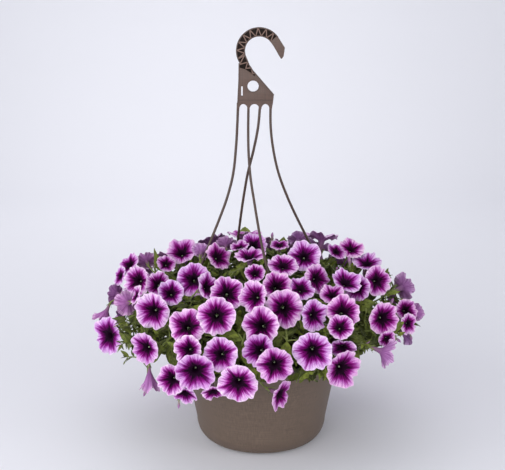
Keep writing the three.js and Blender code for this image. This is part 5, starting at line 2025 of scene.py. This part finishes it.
def sweep():
    """A pale floor that curves up into a backdrop."""
    clear_selection()
    middle = (SWEEP_FRONT + SWEEP_BACK) / 2
    bpy.ops.mesh.primitive_plane_add(size=1, location=(0, middle, 0))
    obj = bpy.context.object
    obj.scale = (2 * SWEEP_HALF, SWEEP_BACK - SWEEP_FRONT, 1)
    apply_place(obj)
    mesh = obj.data
    bpy.ops.object.mode_set(mode="EDIT")
    bpy.ops.mesh.select_mode(type="EDGE")
    bpy.ops.mesh.select_all(action="DESELECT")
    bpy.ops.object.mode_set(mode="OBJECT")
    for edge in mesh.edges:
        edge.select = all(mesh.vertices[corner].co.y > SWEEP_BACK - 0.01 for corner in edge.vertices)
    bpy.ops.object.mode_set(mode="EDIT")
    before = (0.0, 0.0)
    for step in range(1, SWEEP_STEPS + 1):
        turn = math.pi / 2 * step / SWEEP_STEPS
        here = (SWEEP_RADIUS * math.sin(turn), SWEEP_RADIUS * (1 - math.cos(turn)))
        move = (0, here[0] - before[0], here[1] - before[1])
        bpy.ops.mesh.extrude_region_move(TRANSFORM_OT_translate={"value": move})
        before = here
    bpy.ops.mesh.extrude_region_move(TRANSFORM_OT_translate={"value": (0, 0, SWEEP_TOP)})
    bpy.ops.object.mode_set(mode="OBJECT")
    bpy.ops.object.shade_smooth_by_angle(angle=math.radians(SWEEP_SMOOTH))
    obj.name = "pale_sweep"
    return obj


def soft_light(name, place, target, size, power):
    """A soft white panel of light, turned to its target."""
    clear_selection()
    bpy.ops.object.light_add(type="AREA", location=place)
    light = bpy.context.object
    light.name = name
    light.data.shape = "RECTANGLE"
    light.data.size, light.data.size_y = size
    light.data.energy = power
    light.rotation_euler = (Vector(target) - Vector(place)).to_track_quat("-Z", "Y").to_euler()


def floor_finish(colour):
    """The pale floor's matt surface, a very little uneven."""
    finish = Finish("pale_floor")
    grain = finish.noise(finish.place(), 3, 2)
    finish.colour(finish.blend(grain, tuple(colour), shaded(colour, 0.985)))
    finish.set(Roughness=0.85, Specular_IOR_Level=0.1)
    return finish.material


def set_world(scene, strength):
    """The even light all round, and plain colours without a film look."""
    world = bpy.data.worlds.new("studio")
    world.use_nodes = True
    sky = world.node_tree.nodes["Background"]
    sky.inputs["Color"].default_value = SKY
    sky.inputs["Strength"].default_value = strength
    scene.world = world
    scene.view_settings.view_transform = "Standard"


def set_camera(scene):
    """The camera, at the place and angle that the photograph was taken from."""
    target = Vector((VIEW_SHIFT, 0, 0)) + PICTURE_UP * VIEW_LIFT
    place = target + TO_CAMERA * VIEW_DISTANCE
    clear_selection()
    bpy.ops.object.camera_add(location=place)
    camera = bpy.context.object
    camera.rotation_euler = (target - place).to_track_quat("-Z", "Y").to_euler()
    camera.data.sensor_fit = "HORIZONTAL"
    camera.data.angle = VIEW_ANGLE
    camera.data.clip_end = CLIP_END
    scene.camera = camera


class SCENE_OT_basket_stage(bpy.types.Operator):
    """Set the pale sweep, the soft studio lights and the camera"""
    bl_idname = "scene.basket_stage"
    bl_label = "Stage"

    def execute(self, context):
        settings = context.scene.basket_stage
        floor = sweep()
        floor.data.materials.append(floor_finish(settings.floor))
        for name, (place, target, size) in LIGHTS.items():
            soft_light(f"{name}_light", place, target, size, getattr(settings, name))
        set_world(context.scene, settings.world)
        set_camera(context.scene)
        return {"FINISHED"}


STEPS = (
    MESH_OT_basket_pot, MESH_OT_basket_mix, MESH_OT_basket_hook, MESH_OT_basket_strands,
    MESH_OT_basket_sprays, SCENE_OT_basket_stage,
)
SETTINGS = {
    "basket_pot": BasketPotSettings, "basket_mix": BasketMixSettings, "basket_hanger": BasketHangerSettings,
    "basket_blooms": BasketBloomSettings, "basket_leaves": BasketLeafSettings,
    "basket_stage": BasketStageSettings,
}


class VIEW3D_PT_basket(bpy.types.Panel):
    """The basket's sizes, colours and building steps"""
    bl_label = "Petunia Hanging Basket"
    bl_idname = "VIEW3D_PT_basket"
    bl_space_type = "VIEW_3D"
    bl_region_type = "UI"
    bl_category = "Basket"

    def draw(self, context):
        """Lists every setting and every step."""
        for name, group in SETTINGS.items():
            box = self.layout.box()
            for setting in group.__annotations__:
                box.prop(getattr(context.scene, name), setting)
        for step in STEPS:
            self.layout.operator(step.bl_idname)


def register():
    """Makes the settings, the building steps and the panel known to Blender."""
    for name, group in SETTINGS.items():
        bpy.utils.register_class(group)
        setattr(bpy.types.Scene, name, bpy.props.PointerProperty(type=group))
    for step in STEPS:
        bpy.utils.register_class(step)
    bpy.utils.register_class(VIEW3D_PT_basket)


def unregister():
    """Takes away what register added."""
    bpy.utils.unregister_class(VIEW3D_PT_basket)
    for step in reversed(STEPS):
        bpy.utils.unregister_class(step)
    for name, group in SETTINGS.items():
        delattr(bpy.types.Scene, name)
        bpy.utils.unregister_class(group)


def main():
    """Builds every piece and the stage."""
    register()
    bpy.ops.mesh.basket_pot()
    bpy.ops.mesh.basket_mix()
    bpy.ops.mesh.basket_hook()
    bpy.ops.mesh.basket_strands()
    bpy.ops.mesh.basket_sprays()
    bpy.ops.scene.basket_stage()


if __name__ == "__main__":
    main()
